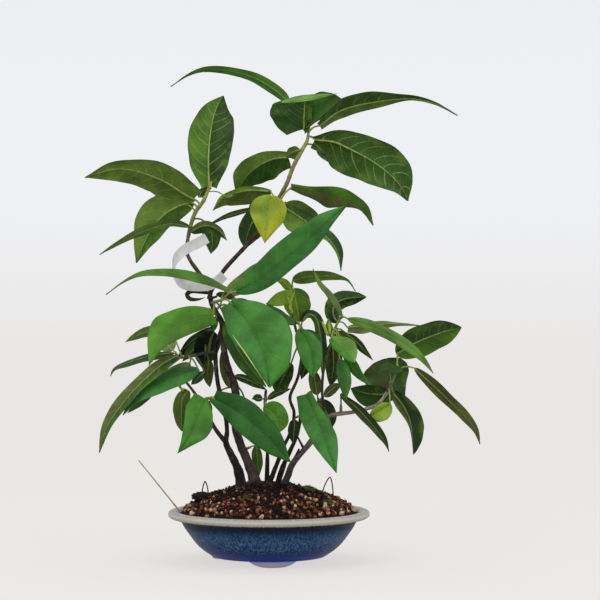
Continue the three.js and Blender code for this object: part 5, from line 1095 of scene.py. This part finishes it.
# Wood
def rod(shell, path, radii, sides, tint, finish=0, shape=None):
    """A closed rod along points in mm; shape gives a factor on the radius from turn and length."""
    path = np.asarray(path, float)
    steps = run_along(path)
    along = unit(np.gradient(path, axis=0))
    turn = 2 * np.pi * np.arange(sides) / sides
    across = np.array([1.0, 0, 0]) if abs(along[0, 2]) > 0.9 else np.array([0, 0, 1.0])
    points, places = [], []
    for k, place in enumerate(path):
        across = unit(across - along[k] * (across @ along[k]))
        up = np.cross(along[k], across)
        reach = radii[k] * (np.ones(sides) if shape is None else shape(turn, steps[k], k))
        points.append(place + np.outer(reach * np.cos(turn), across)
                      + np.outer(reach * np.sin(turn), up))
        places.append(np.stack([radii[k] * turn, np.full(sides, steps[k]),
                                np.full(sides, radii[k])], -1))
    faces = []
    for i in range(len(path) - 1):
        for k in range(sides):
            a, b = i * sides + k, i * sides + (k + 1) % sides
            faces.append((a, b, b + sides, a + sides))
    faces.append(tuple(range(sides))[::-1])
    faces.append(tuple((len(path) - 1) * sides + k for k in range(sides)))
    if np.ndim(tint) > 1:
        tint = np.repeat(np.asarray(tint, float).reshape(-1, 4), sides, axis=0)
    shell.add(np.vstack(points) * MM, faces, tint, np.vstack(places), finish=finish)


# Bark colours at the foot and at the end of each stem, and how late the change comes. The main trunk's
# paler foot is a painted highlight and its darker top painted shade among the leaves; the near-black tints
# of the other stems are partly painted shade under the leaves
STEM_TINTS = {
    "left trunk": ("#221C1E", "#2E2A24", 1.2), "left branch": ("#33291F", "#5A5630", 1.0),
    "main trunk": ("#5C4B49", "#2C2622", 0.6), "left leader": ("#4A3432", "#87903C", 3.0),
    "right leader": ("#4A3230", "#667236", 4.5), "back stem": ("#241B1A", "#3C332A", 1.0),
    "middle stem": ("#231B1B", "#565830", 1.6), "fifth stem": ("#261E1D", "#46442A", 1.4),
    "right trunk": ("#352A29", "#BCADA2", 1.2), "upright twig": ("#463832", "#6A7436", 1.4),
    "crossing twig": ("#54522E", "#76813A", 1.0), "bare twig": ("#2C2320", "#3A2F29", 1.0),
    "second bare twig": ("#2C2320", "#3A2F29", 1.0),
}
NODE_SPACING = 9.5


def stems():
    """Trunks, branches and bare twigs on their root crown: one woody piece."""
    shell = Shell()
    for number, (name, rows) in enumerate(STEMS):
        count = max(10, int(run_along(rows)[-1] / 1.3))
        samples = smooth(rows, count)
        path = seen(samples) / MM
        share = np.linspace(0, 1, count)
        foot, end, late = STEM_TINTS[name]
        tints = blend(foot, end, share ** late)
        thick = samples[:, 3]

        def bark(turn, length, k, shift=number * 7.3, thick=thick, share=share):
            """Ridges and dents of the bark, and a swollen ring with a scar at each old leaf."""
            ridge = np.array([noise.noise((math.cos(t) * 1.6 + shift, math.sin(t) * 1.6, length * 0.11))
                              for t in turn])
            knot = noise.noise((length * 0.16, shift, 1.7))
            ring = math.exp(-(((length + shift) % NODE_SPACING - NODE_SPACING / 2) / 0.8) ** 2)
            side = 0.6 + 0.4 * np.cos(turn - 2.4 * math.floor((length + shift) / NODE_SPACING))
            flare = 0.12 * math.exp(-length / 9) * np.cos(3 * turn + shift) if thick[0] > 4.5 else 0
            return 1 + 0.13 * ridge + 0.07 * knot + 0.13 * ring * side * (0.3 + 0.7 * share[k]) + flare

        rod(shell, path, thick, 16, tints, shape=bark)
    root_crown(shell)
    shell.piece("woody_stems", [old_bark()], ["stems"], sharp=70)


# Surface roots: points of the front view on or under the soil, with a radius
ROOTS = [
    [[252, 484, 0, 5], [244, 489, -10, 3.6], [236, 494, -19, 2.6], [226, 499, -27, 1.8],
     [218, 504, -32, 1]],
    [[258, 484, 0, 5], [257, 491, -12, 3.6], [255, 498, -22, 2.4], [252, 505, -31, 1.2]],
    [[268, 484, 0, 5], [272, 491, -12, 3.4], [277, 497, -21, 2.2], [279, 504, -30, 1.1]],
    [[282, 484, 0, 5], [292, 490, -8, 3.4], [302, 495, -15, 2.4], [312, 501, -21, 1.2]],
    [[244, 485, 4, 4.6], [232, 489, 8, 3], [220, 493, 12, 1.8], [210, 498, 14, 0.9]],
    [[286, 485, 6, 4.6], [298, 489, 12, 3], [310, 494, 18, 1.8], [320, 499, 22, 0.9]],
]


def root_crown(shell):
    """Where the stems rise from one stock: a knobbly low dome, with roots running from it into the soil."""
    for number, rows in enumerate(ROOTS):
        samples = smooth(rows, 26)
        path = seen(samples) / MM

        def gnarl(turn, length, k, shift=number * 3.1):
            """Bumps all over a root."""
            return 1 + 0.22 * np.array([noise.noise((math.cos(t) + shift, math.sin(t), length * 0.16))
                                        for t in turn])

        rod(shell, path, samples[:, 3], 14, linear("#2C2120"), shape=gnarl)
    bpy.ops.mesh.primitive_uv_sphere_add(segments=64, ring_count=32, radius=1)
    points, faces = taken_apart(bpy.context.object)
    rough = np.array([noise.fractal(Vector(p) * 2.1, 0.8, 2.0, 4) for p in points])
    middle = seen(CROWN_PLACE) / MM
    dome = points * np.array(CROWN_REACH) * (1 + 0.12 * rough[:, None])
    dome += [middle[0], middle[1], CROWN_MIDDLE]
    plan = np.stack([points[:, 0] * 27, points[:, 2] * 14, points[:, 1] * 14], -1)
    shell.add(dome * MM, faces, linear("#261C1B"), plan)


# Leaves
def blank_leaf(strips, stations):
    """A flat blade of unit length and half width, two faces thick, from which every leaf is shaped."""
    bpy.ops.mesh.primitive_grid_add(x_subdivisions=2 * strips, y_subdivisions=stations, size=2)
    made = bpy.context.object
    wall = made.modifiers.new("thickness", "SOLIDIFY")
    wall.thickness = 0.1
    wall.offset = 0
    bpy.ops.object.modifier_apply(modifier="thickness")
    points, faces = taken_apart(made)
    even = (points[:, 1] + 1) / 2
    # Stations lie closer together at the round base and the drawn-out tip
    along = 0.45 * even + 0.55 * (0.5 - 0.5 * np.cos(np.pi * even))
    return points[:, 0], along, np.sign(points[:, 2]), faces


def outline(share, widest, end):
    """Share of a blade's full width at a share of its length: a round base and a drawn-out tip."""
    share = np.clip(share, 0, 1)
    near = (1 - np.clip(1 - share / widest, 0, 1) ** 2.8) ** 0.56
    beyond = np.clip((share - widest) / (1 - widest), 0, 1)
    far = (1 - beyond ** (1.9 / end ** 0.9)) ** (1.05 * end ** 0.6)
    return np.where(share < widest, near, far)


RIB_SAMPLES = 160
# The raised midrib ends a little before the tip
RIB_STATIONS = np.linspace(0, 0.93, 24)


def pair(value):
    """What stands for both halves of a leaf, as two."""
    return value if isinstance(value, list) else [value, value]


def width_at(share, shape, end):
    """Width of one half at a share of its length, from its widest place and end or from its widths."""
    if not isinstance(shape, list):
        return outline(share, shape, end)
    stations = np.linspace(0, 1, RIB_SAMPLES)
    width = np.interp(stations, np.linspace(0, 1, len(shape)), shape)
    spread = RIB_SAMPLES // len(shape)
    kernel = np.hanning(spread + 2)[1:-1]
    padded = np.concatenate([np.full(spread, width[0]), width, -width[-2:-spread - 2:-1]])
    soft = np.convolve(padded, kernel / kernel.sum(), "same")[spread:spread + RIB_SAMPLES]
    return np.interp(share, stations, np.maximum(soft, 0))


def blade_place(leaf, across, along):
    """Points in mm on a leaf's middle surface, with how far they lie from its midrib."""
    left, right = leaf.halves
    left_turn, right_turn = leaf.turns
    line = smooth(leaf.rib, RIB_SAMPLES)
    heading = unit(np.gradient(line[:, :2], axis=0))
    at = np.clip(along, 0, 1) * (RIB_SAMPLES - 1)
    stations = np.arange(RIB_SAMPLES)
    u, v, d = (np.interp(at, stations, line[:, k]) for k in range(3))
    du, dv = (np.interp(at, stations, heading[:, k]) for k in range(2))
    part = np.abs(across)
    half = np.where(across < 0, left, right)
    turn = np.radians(np.where(across < 0, left_turn, right_turn))
    side = np.where(across < 0, 1, -1)
    shapes = zip(pair(leaf.widest), pair(leaf.end))
    left_width, right_width = (width_at(along, *shape) for shape in shapes)
    width = half * np.where(across < 0, left_width, right_width)
    reach = part * np.maximum(width, TIP_HALF_WIDTH)
    lobe = LOBE_SHARE * max(left, right) * np.clip(1 - along / LOBE_REACH, 0, 1) * part
    places = np.stack([u + side * dv * reach - du * lobe, v - side * du * reach - dv * lobe,
                       d + reach * np.tan(turn)], -1)
    return seen(places) / MM, reach / np.cos(turn)


def tones_of(leaf):
    """Colours of a leaf's left and right half and of its far side, and whether its top faces the eye."""
    shown = LEAF_TONES_LIT_AND_SHADED.get(leaf.name, leaf.tone)
    left, right = (shown, shown) if isinstance(shown, str) else shown
    top_shown = leaf.tone in UPPER_TONES
    away = UNDER_GREEN if top_shown else UPPER_GREEN
    if leaf.tone in ALIKE_TONES:
        away = TONES[right]
    return linear(TONES[left]), linear(TONES[right]), linear(away), top_shown


def blade(shell, leaf, blank, number):
    """Shapes one leaf blade from the blank; its number sets where it waves and where its veins run."""
    across, along, face, faces = blank
    step = 0.01
    places, dist = blade_place(leaf, across, along)
    side_step = blade_place(leaf, across + step, along)[0] - blade_place(leaf, across - step, along)[0]
    tip_step = (blade_place(leaf, across, np.minimum(1, along + step))[0]
                - blade_place(leaf, across, np.maximum(0, along - step))[0])
    to_eye = unit(np.cross(side_step, tip_step))
    if leaf.name == TOPMOST:
        places = places - np.array([0, 0, TOPMOST_SINK])
    left, right, away, top_shown = tones_of(leaf)
    up = to_eye if top_shown else -to_eye
    length = run_along(seen(smooth(leaf.rib, 40)))[-1] / MM
    half = sum(leaf.halves) / 2
    part = np.abs(across)
    along_mm = along * length
    spacing = max(5, min(14, length / 9))
    slant = 0.5 + 0.6 * part ** 2
    phase = (along_mm - dist * slant) / spacing + np.where(across < 0, 0.3, 0.0)
    phase += (0.13 * np.sin(2.3 * phase + number + 1.7 * np.sign(across))
              + 0.05 * np.sin(5.1 * part + number))
    # Each half arches, dips at the midrib and waves at its margin, and swells between the side veins
    wave = np.sin(2 * np.pi * (2.2 * along + 0.37 * number) + np.where(across < 0, 0, 2.1))
    height = (ARCH * half * part * (1 - part) - DROOP * half * part ** 2
              - (MIDRIB_DIP if top_shown else MIDRIB_RIDGE) * np.exp(-(dist / 1.3) ** 2)
              + MARGIN_WAVE * half * part ** 2 * wave * np.sin(np.pi * along)
              - VEIN_SWELL * min(1, half / 10) * np.cos(2 * np.pi * phase) * part * (1 - part ** 4))
    thick = BLADE_THICKNESS / 2 * (1 - 0.55 * part ** 6)
    points = places + up * height[:, None] + to_eye * (face * thick)[:, None]
    tint = np.where((face > 0)[:, None], np.where((across < 0)[:, None], left, right), away)
    # The middle line belongs to both halves
    middle = (np.abs(across) < 1e-6) & (face > 0)
    tint = np.where(middle[:, None], (np.array(left) + np.array(right)) / 2, tint)
    # The third value is positive above and negative below, and its size is how clear the veins are
    clear = VEINS.get(leaf.name, VEINS["above"] if top_shown else VEINS["below"])
    clear_away = VEINS["below"] if top_shown else VEINS["above"]
    veined = np.where(face > 0, clear if top_shown else -clear, -clear_away if top_shown else clear_away)
    plan = np.stack([np.sign(across) * dist, along_mm, phase], -1)
    values = np.stack([part, along, veined], -1)
    shell.add(points * MM, faces, tint, plan, values, finish=0)


def stalk(shell, leaf, twig_line):
    """Leaf stalk from the twig, on under the blade as its raised midrib."""
    _, right_tone, _, top_shown = tones_of(leaf)
    line = blade_place(leaf, 0, RIB_STATIONS)[0]
    across = blade_place(leaf, 0.02, RIB_STATIONS)[0] - line
    along = np.gradient(line, axis=0)
    to_eye = unit(np.cross(across, along))
    down = -to_eye if top_shown else to_eye
    base = line[0]
    root = twig_line[np.argmin(np.linalg.norm(twig_line - base, axis=1))]
    away = np.linalg.norm(base - root)
    bend = (root + base) / 2 + np.array([0, 0, 0.12 * away])
    neck = smooth([root, bend, base - unit(along[0]) * 0.4 + down[0] * 0.2], max(6, int(away / 1.2) + 3))
    share = np.linspace(0, 1, len(line) - 1)
    radii = np.concatenate([np.linspace(1.0, 0.82, len(neck)), 0.78 * (1 - share) ** 0.8 + 0.12])
    radii *= PETIOLE_RADIUS * min(1, 0.55 + sum(leaf.halves) / 60)
    radii[:2] *= 1.25
    # The raised midrib stands out from the underside, and lies wholly below a blade seen from above
    sink = radii[len(neck):] + 0.5 if top_shown else 0.65 * radii[len(neck):] + 0.42
    path = np.vstack([neck, line[1:] + down[1:] * sink[:, None]])
    clear = min(1, 0.2 + VEINS.get(leaf.name, VEINS["below"]))
    # Stalks of leaves that hang in shadow are painted darker: painted shade
    stalk_tint = np.array(linear("#5C7030" if leaf.tone in ("shade", "dark") else "#94A544"))
    rib_tint = clear * np.array(linear("#A3B45C")) + (1 - clear) * np.array(right_tone)
    tints = np.vstack([np.tile(stalk_tint, (len(neck), 1)), np.tile(rib_tint, (len(share), 1))])
    if leaf.tone == "dead":
        tints[:] = linear("#3A3322")
    rod(shell, path, radii, 8, tints, finish=1)


# Twig colours at the foot and the end, and the leafy bud at the end: its length in mm, or none
TWIG_LOOKS = {
    "upper_left": ("#6C6034", "#A3B04A", 9), "top_right": ("#665830", "#A0AC4C", 9),
    "right_end": ("#6A5A4C", "#8C8A48", 6), "right_top": ("#76803C", "#9AA64A", 6),
    "centre_upper": ("#7F8A3E", "#A9B44A", 7), "centre_top": ("#7A7C40", "#A5B04C", 6),
    # The left twig is painted near-black, as painted shade deep among the leaves
    "left": ("#322C24", "#5E6236", 5), "left_branch": ("#6E6A3E", "#93984A", 5),
    "dead": ("#3A3226", "#2F2A20", 0),
}


def bud(shell, base, heading, length, code="#A9B653"):
    """The pointed bud in its pale sheath at a shoot's end."""
    heading = unit(heading)
    share = np.linspace(0, 1, 9)
    path = base + np.outer(share * length, heading)
    radii = 1.5 * np.sin(np.pi * (0.18 + 0.82 * share)) ** 0.8 + 0.08
    rod(shell, path, radii, 10, linear(code), finish=1)


def sprays():
    """Each leafy shoot: its twig, its stalked leaves and its buds in one piece."""
    blade_finish = fig_blade("fig_leaf_blade", "#B4C873", spotted=False)
    yellow_finish = fig_blade("yellowing_fig_leaf", "#C9C95A", spotted=True)
    shoot_finish = green_bark()
    dead_finish = plain_finish("dry_curled_leaf", "#2B2619", "#4A412B", 2.5, 0.4, {"Roughness": 0.9})
    finishes = {"yellow": yellow_finish, "dead": dead_finish}
    large, small = blank_leaf(12, 44), blank_leaf(7, 26)
    for number, (name, rows) in enumerate(TWIGS.items()):
        shell = Shell()
        foot, end, bud_length = TWIG_LOOKS.get(name, ("#6E6A44", "#98A04C", 0))
        count = max(10, int(run_along(rows)[-1] / 1.2))
        samples = smooth(rows, count)
        path = seen(samples) / MM
        tints = blend(foot, end, np.linspace(0, 1, count))

        def rings(turn, length, k, shift=number * 2.3):
            """A ring at each fallen bud sheath."""
            ring = math.exp(-(((length + shift) % 7.5 - 3.7) / 0.6) ** 2)
            return 1 + 0.16 * ring + 0.05 * np.cos(5 * turn + shift)

        rod(shell, path, samples[:, 3], 12, tints, finish=1, shape=rings)
        if bud_length:
            heading = path[-1] - path[-3]
            bud(shell, path[-1] - unit(heading), heading, bud_length)
        twig_line = seen(smooth(rows, max(5, 3 * len(rows)))[2:]) / MM
        for order, leaf in enumerate(LEAVES):
            if leaf.twig == name:
                blade(shell, leaf, large if sum(leaf.halves) > 15 else small, order)
                stalk(shell, leaf, twig_line)
        for leaf in FOLDS:
            if leaf.twig == name:
                blade(shell, leaf, small, len(LEAVES))
        for twig, foot_place, tip_place in OPENING:
            if twig == name:
                base, top = seen([foot_place, tip_place]) / MM
                bud(shell, base, top - base, np.linalg.norm(top - base), "#B2C648")
        shell.piece(f"leafy_{name}", [finishes.get(name, blade_finish), shoot_finish],
                    [f"spray_{name}"], sharp=48)


# Small things in and on the plant
LABEL_SAMPLES = 90
ROD_SAMPLES = 60
STRAW_JOINTS = (12, 33)


def label_strip():
    """A thin white plastic strip, looped round the stems and left bare."""
    line = smooth(LABEL, LABEL_SAMPLES)
    heading = unit(np.gradient(line[:, :2], axis=0))
    turn = np.radians(line[:, 3])
    shell = Shell()
    columns = np.linspace(-1, 1, 9)
    grid = []
    for k, (u, v, d, _) in enumerate(line):
        flat, deep = math.cos(turn[k]), math.sin(turn[k])
        sag = 0.25 * np.sin(k * 0.4) * (1 - columns ** 2)
        grid.append(seen(np.stack([u - columns * flat * LABEL_WIDTH * heading[k, 1] / 2,
                                   v + columns * flat * LABEL_WIDTH * heading[k, 0] / 2,
                                   d + columns * deep * LABEL_WIDTH / 2 + sag], -1)) / MM)
    grid = np.array(grid)
    normal = unit(np.cross(np.gradient(grid, axis=1), np.gradient(grid, axis=0)))
    faces, total, width = [], grid.shape[0] * grid.shape[1], grid.shape[1]
    for i in range(grid.shape[0] - 1):
        for j in range(width - 1):
            a = i * width + j
            faces.append((a, a + 1, a + 1 + width, a + width))
            faces.append((total + a, total + a + width, total + a + 1 + width, total + a + 1))
    rim = list(range(width)) + [i * width + width - 1 for i in range(1, grid.shape[0])]
    rim += [total - 1 - j for j in range(1, width)] + [i * width for i in range(grid.shape[0] - 2, 0, -1)]
    for a, b in zip(rim, rim[1:] + rim[:1]):
        faces.append((b, a, total + a, total + b))
    points = np.vstack([(grid + normal * LABEL_THICKNESS / 2).reshape(-1, 3),
                        (grid - normal * LABEL_THICKNESS / 2).reshape(-1, 3)])
    shell.add(points * MM, faces, linear("#DCDCDC"))
    film = plain_finish("thin_white_plastic_film", "#F4F4F2", "#E0E1E0", 9, 0.12, {"Roughness": 0.4})
    shell.piece("bare_label_strip", [film], ["label_strip"], sharp=60)


def pins_and_straw():
    """Two bent wire pins in the soil, and a dry grass stalk leaning out over the rim."""
    wire = plain_finish("rusted_wire", "#4E3A32", "#2E2624", 1.5, 0.15,
                        {"Roughness": 0.6, "Metallic": 0.7})
    for name, rows in PINS.items():
        shell = Shell()
        path = seen(smooth(rows, ROD_SAMPLES)) / MM
        rod(shell, path, np.full(ROD_SAMPLES, PIN_RADIUS), 10, linear("#4E3A32"))
        shell.piece(f"bent_{name}", [wire], [name], sharp=60)
    shell = Shell()
    path = seen(smooth(STRAW, ROD_SAMPLES)) / MM
    radii = STRAW_RADIUS * (1 - 0.45 * np.linspace(0, 1, ROD_SAMPLES))
    for joint in STRAW_JOINTS:
        radii[joint - 1:joint + 2] *= 1.2
    rod(shell, path, radii, 10, linear("#C9B48C"),
        shape=lambda turn, length, k: 1 + 0.12 * np.cos(4 * turn))
    dry = plain_finish("dry_grass_stalk", "#CDB98E", "#A8895C", 4, 0.2, {"Roughness": 0.75})
    shell.piece("dry_straw", [dry], ["straw"], sharp=60)


# Room: a pale sweep and white light all round, with large soft lamps in front and above, each with its
# place and width in metres and its power in watts
LAMPS = [
    ("front_left", (-0.9, -1.6, 1.7), 1.2, 8),
    ("front_right", (1.4, -1.4, 0.9), 1.2, 4),
    ("above", (0.1, 0.1, 2.2), 1.2, 5),
]


def studio_paper():
    """Smooth pale paper, lit by itself so that it stays even: warm on the table, cooler up the wall."""
    material, tree, place, _ = blank_finish("pale_studio_paper")
    height = add(tree, SPLIT, {0: place}).node.outputs[2]
    rise = add(tree, MAP, SOFT | {0: height, 1: 0.0, 2: 0.6})
    paper = add(tree, MIX, TINTED | {0: rise, 6: linear("#7C7B79"), 7: linear("#7C7C7E")}, 2)
    glow = add(tree, MIX, TINTED | {0: rise, 6: linear("#D1CECB"), 7: linear("#DBDCDF")}, 2)
    fibre = add(tree, NOISE, {"Vector": place, "Scale": grains_of(2)})
    surface(tree, {"Base Color": paper, "Emission Color": glow, "Emission Strength": 1.0, "Roughness": 1.0,
                   "Specular IOR Level": 0.0}, fibre, 0.02, 0.2)
    return material


def room():
    """The sweep, the light on it and the eye in front."""
    # Radius and height: the table a hair below the feet, then a wide curve up to the wall
    profile = [[0, -0.02], [600, -0.02], [1300, -0.02], [1900, 20], [2500, 120], [3100, 420], [3500, 900],
               [3700, 1600], [3760, 2600]]
    sweep = turned("sweep", rounded(profile, 60), 96)
    sweep.data.materials.append(studio_paper())
    smooth_shade(sweep, 60)
    # The sweep is only looked at: the lamps and the white room light the part through it
    sweep.visible_shadow = False
    sweep.visible_diffuse = False
    sweep.visible_glossy = False
    world = bpy.data.worlds.new("white_room")
    bpy.context.scene.world = world
    world.use_nodes = True
    tree = world.node_tree
    # The room is brightest overhead and dim below the table
    direction = add(tree, "ShaderNodeTexCoord", output="Generated")
    upward = add(tree, SPLIT, {0: direction}).node.outputs[2]
    rise = add(tree, MAP, SOFT | {0: upward, 1: -0.5, 2: 0.7})
    glow = add(tree, MIX, TINTED | {0: rise, 6: linear("#B2AEA6"), 7: linear("#F4F7FC")}, 2)
    sky = tree.nodes["Background"]
    tree.links.new(glow, sky.inputs["Color"])
    sky.inputs["Strength"].default_value = 0.92
    for name, place, size, power in LAMPS:
        light = bpy.data.lights.new(name, "AREA")
        light.shape = "DISK"
        light.size = size
        light.energy = power
        lamp = bpy.data.objects.new(name, light)
        bpy.context.collection.objects.link(lamp)
        lamp.location = place
        lamp.rotation_euler = (Vector((0, 0, 0.25)) - lamp.location).to_track_quat("-Z", "Y").to_euler()
    lens = bpy.data.cameras.new("eye")
    lens.sensor_width = 36
    lens.lens = lens.sensor_width * CAMERA_AWAY / VIEW_WIDTH
    eye = bpy.data.objects.new("eye", lens)
    bpy.context.collection.objects.link(eye)
    eye.location = (AXIS.x + EYE_X * MM, AXIS.y - CAMERA_AWAY * MM, EYE_Z * MM)
    eye.rotation_euler = (math.pi / 2, 0, 0)
    bpy.context.scene.camera = eye
    bpy.context.scene.view_settings.view_transform = "Standard"


room()
pot()
soil()
crumbs()
moss()
feed_lump()
stems()
sprays()
label_strip()
pins_and_straw()
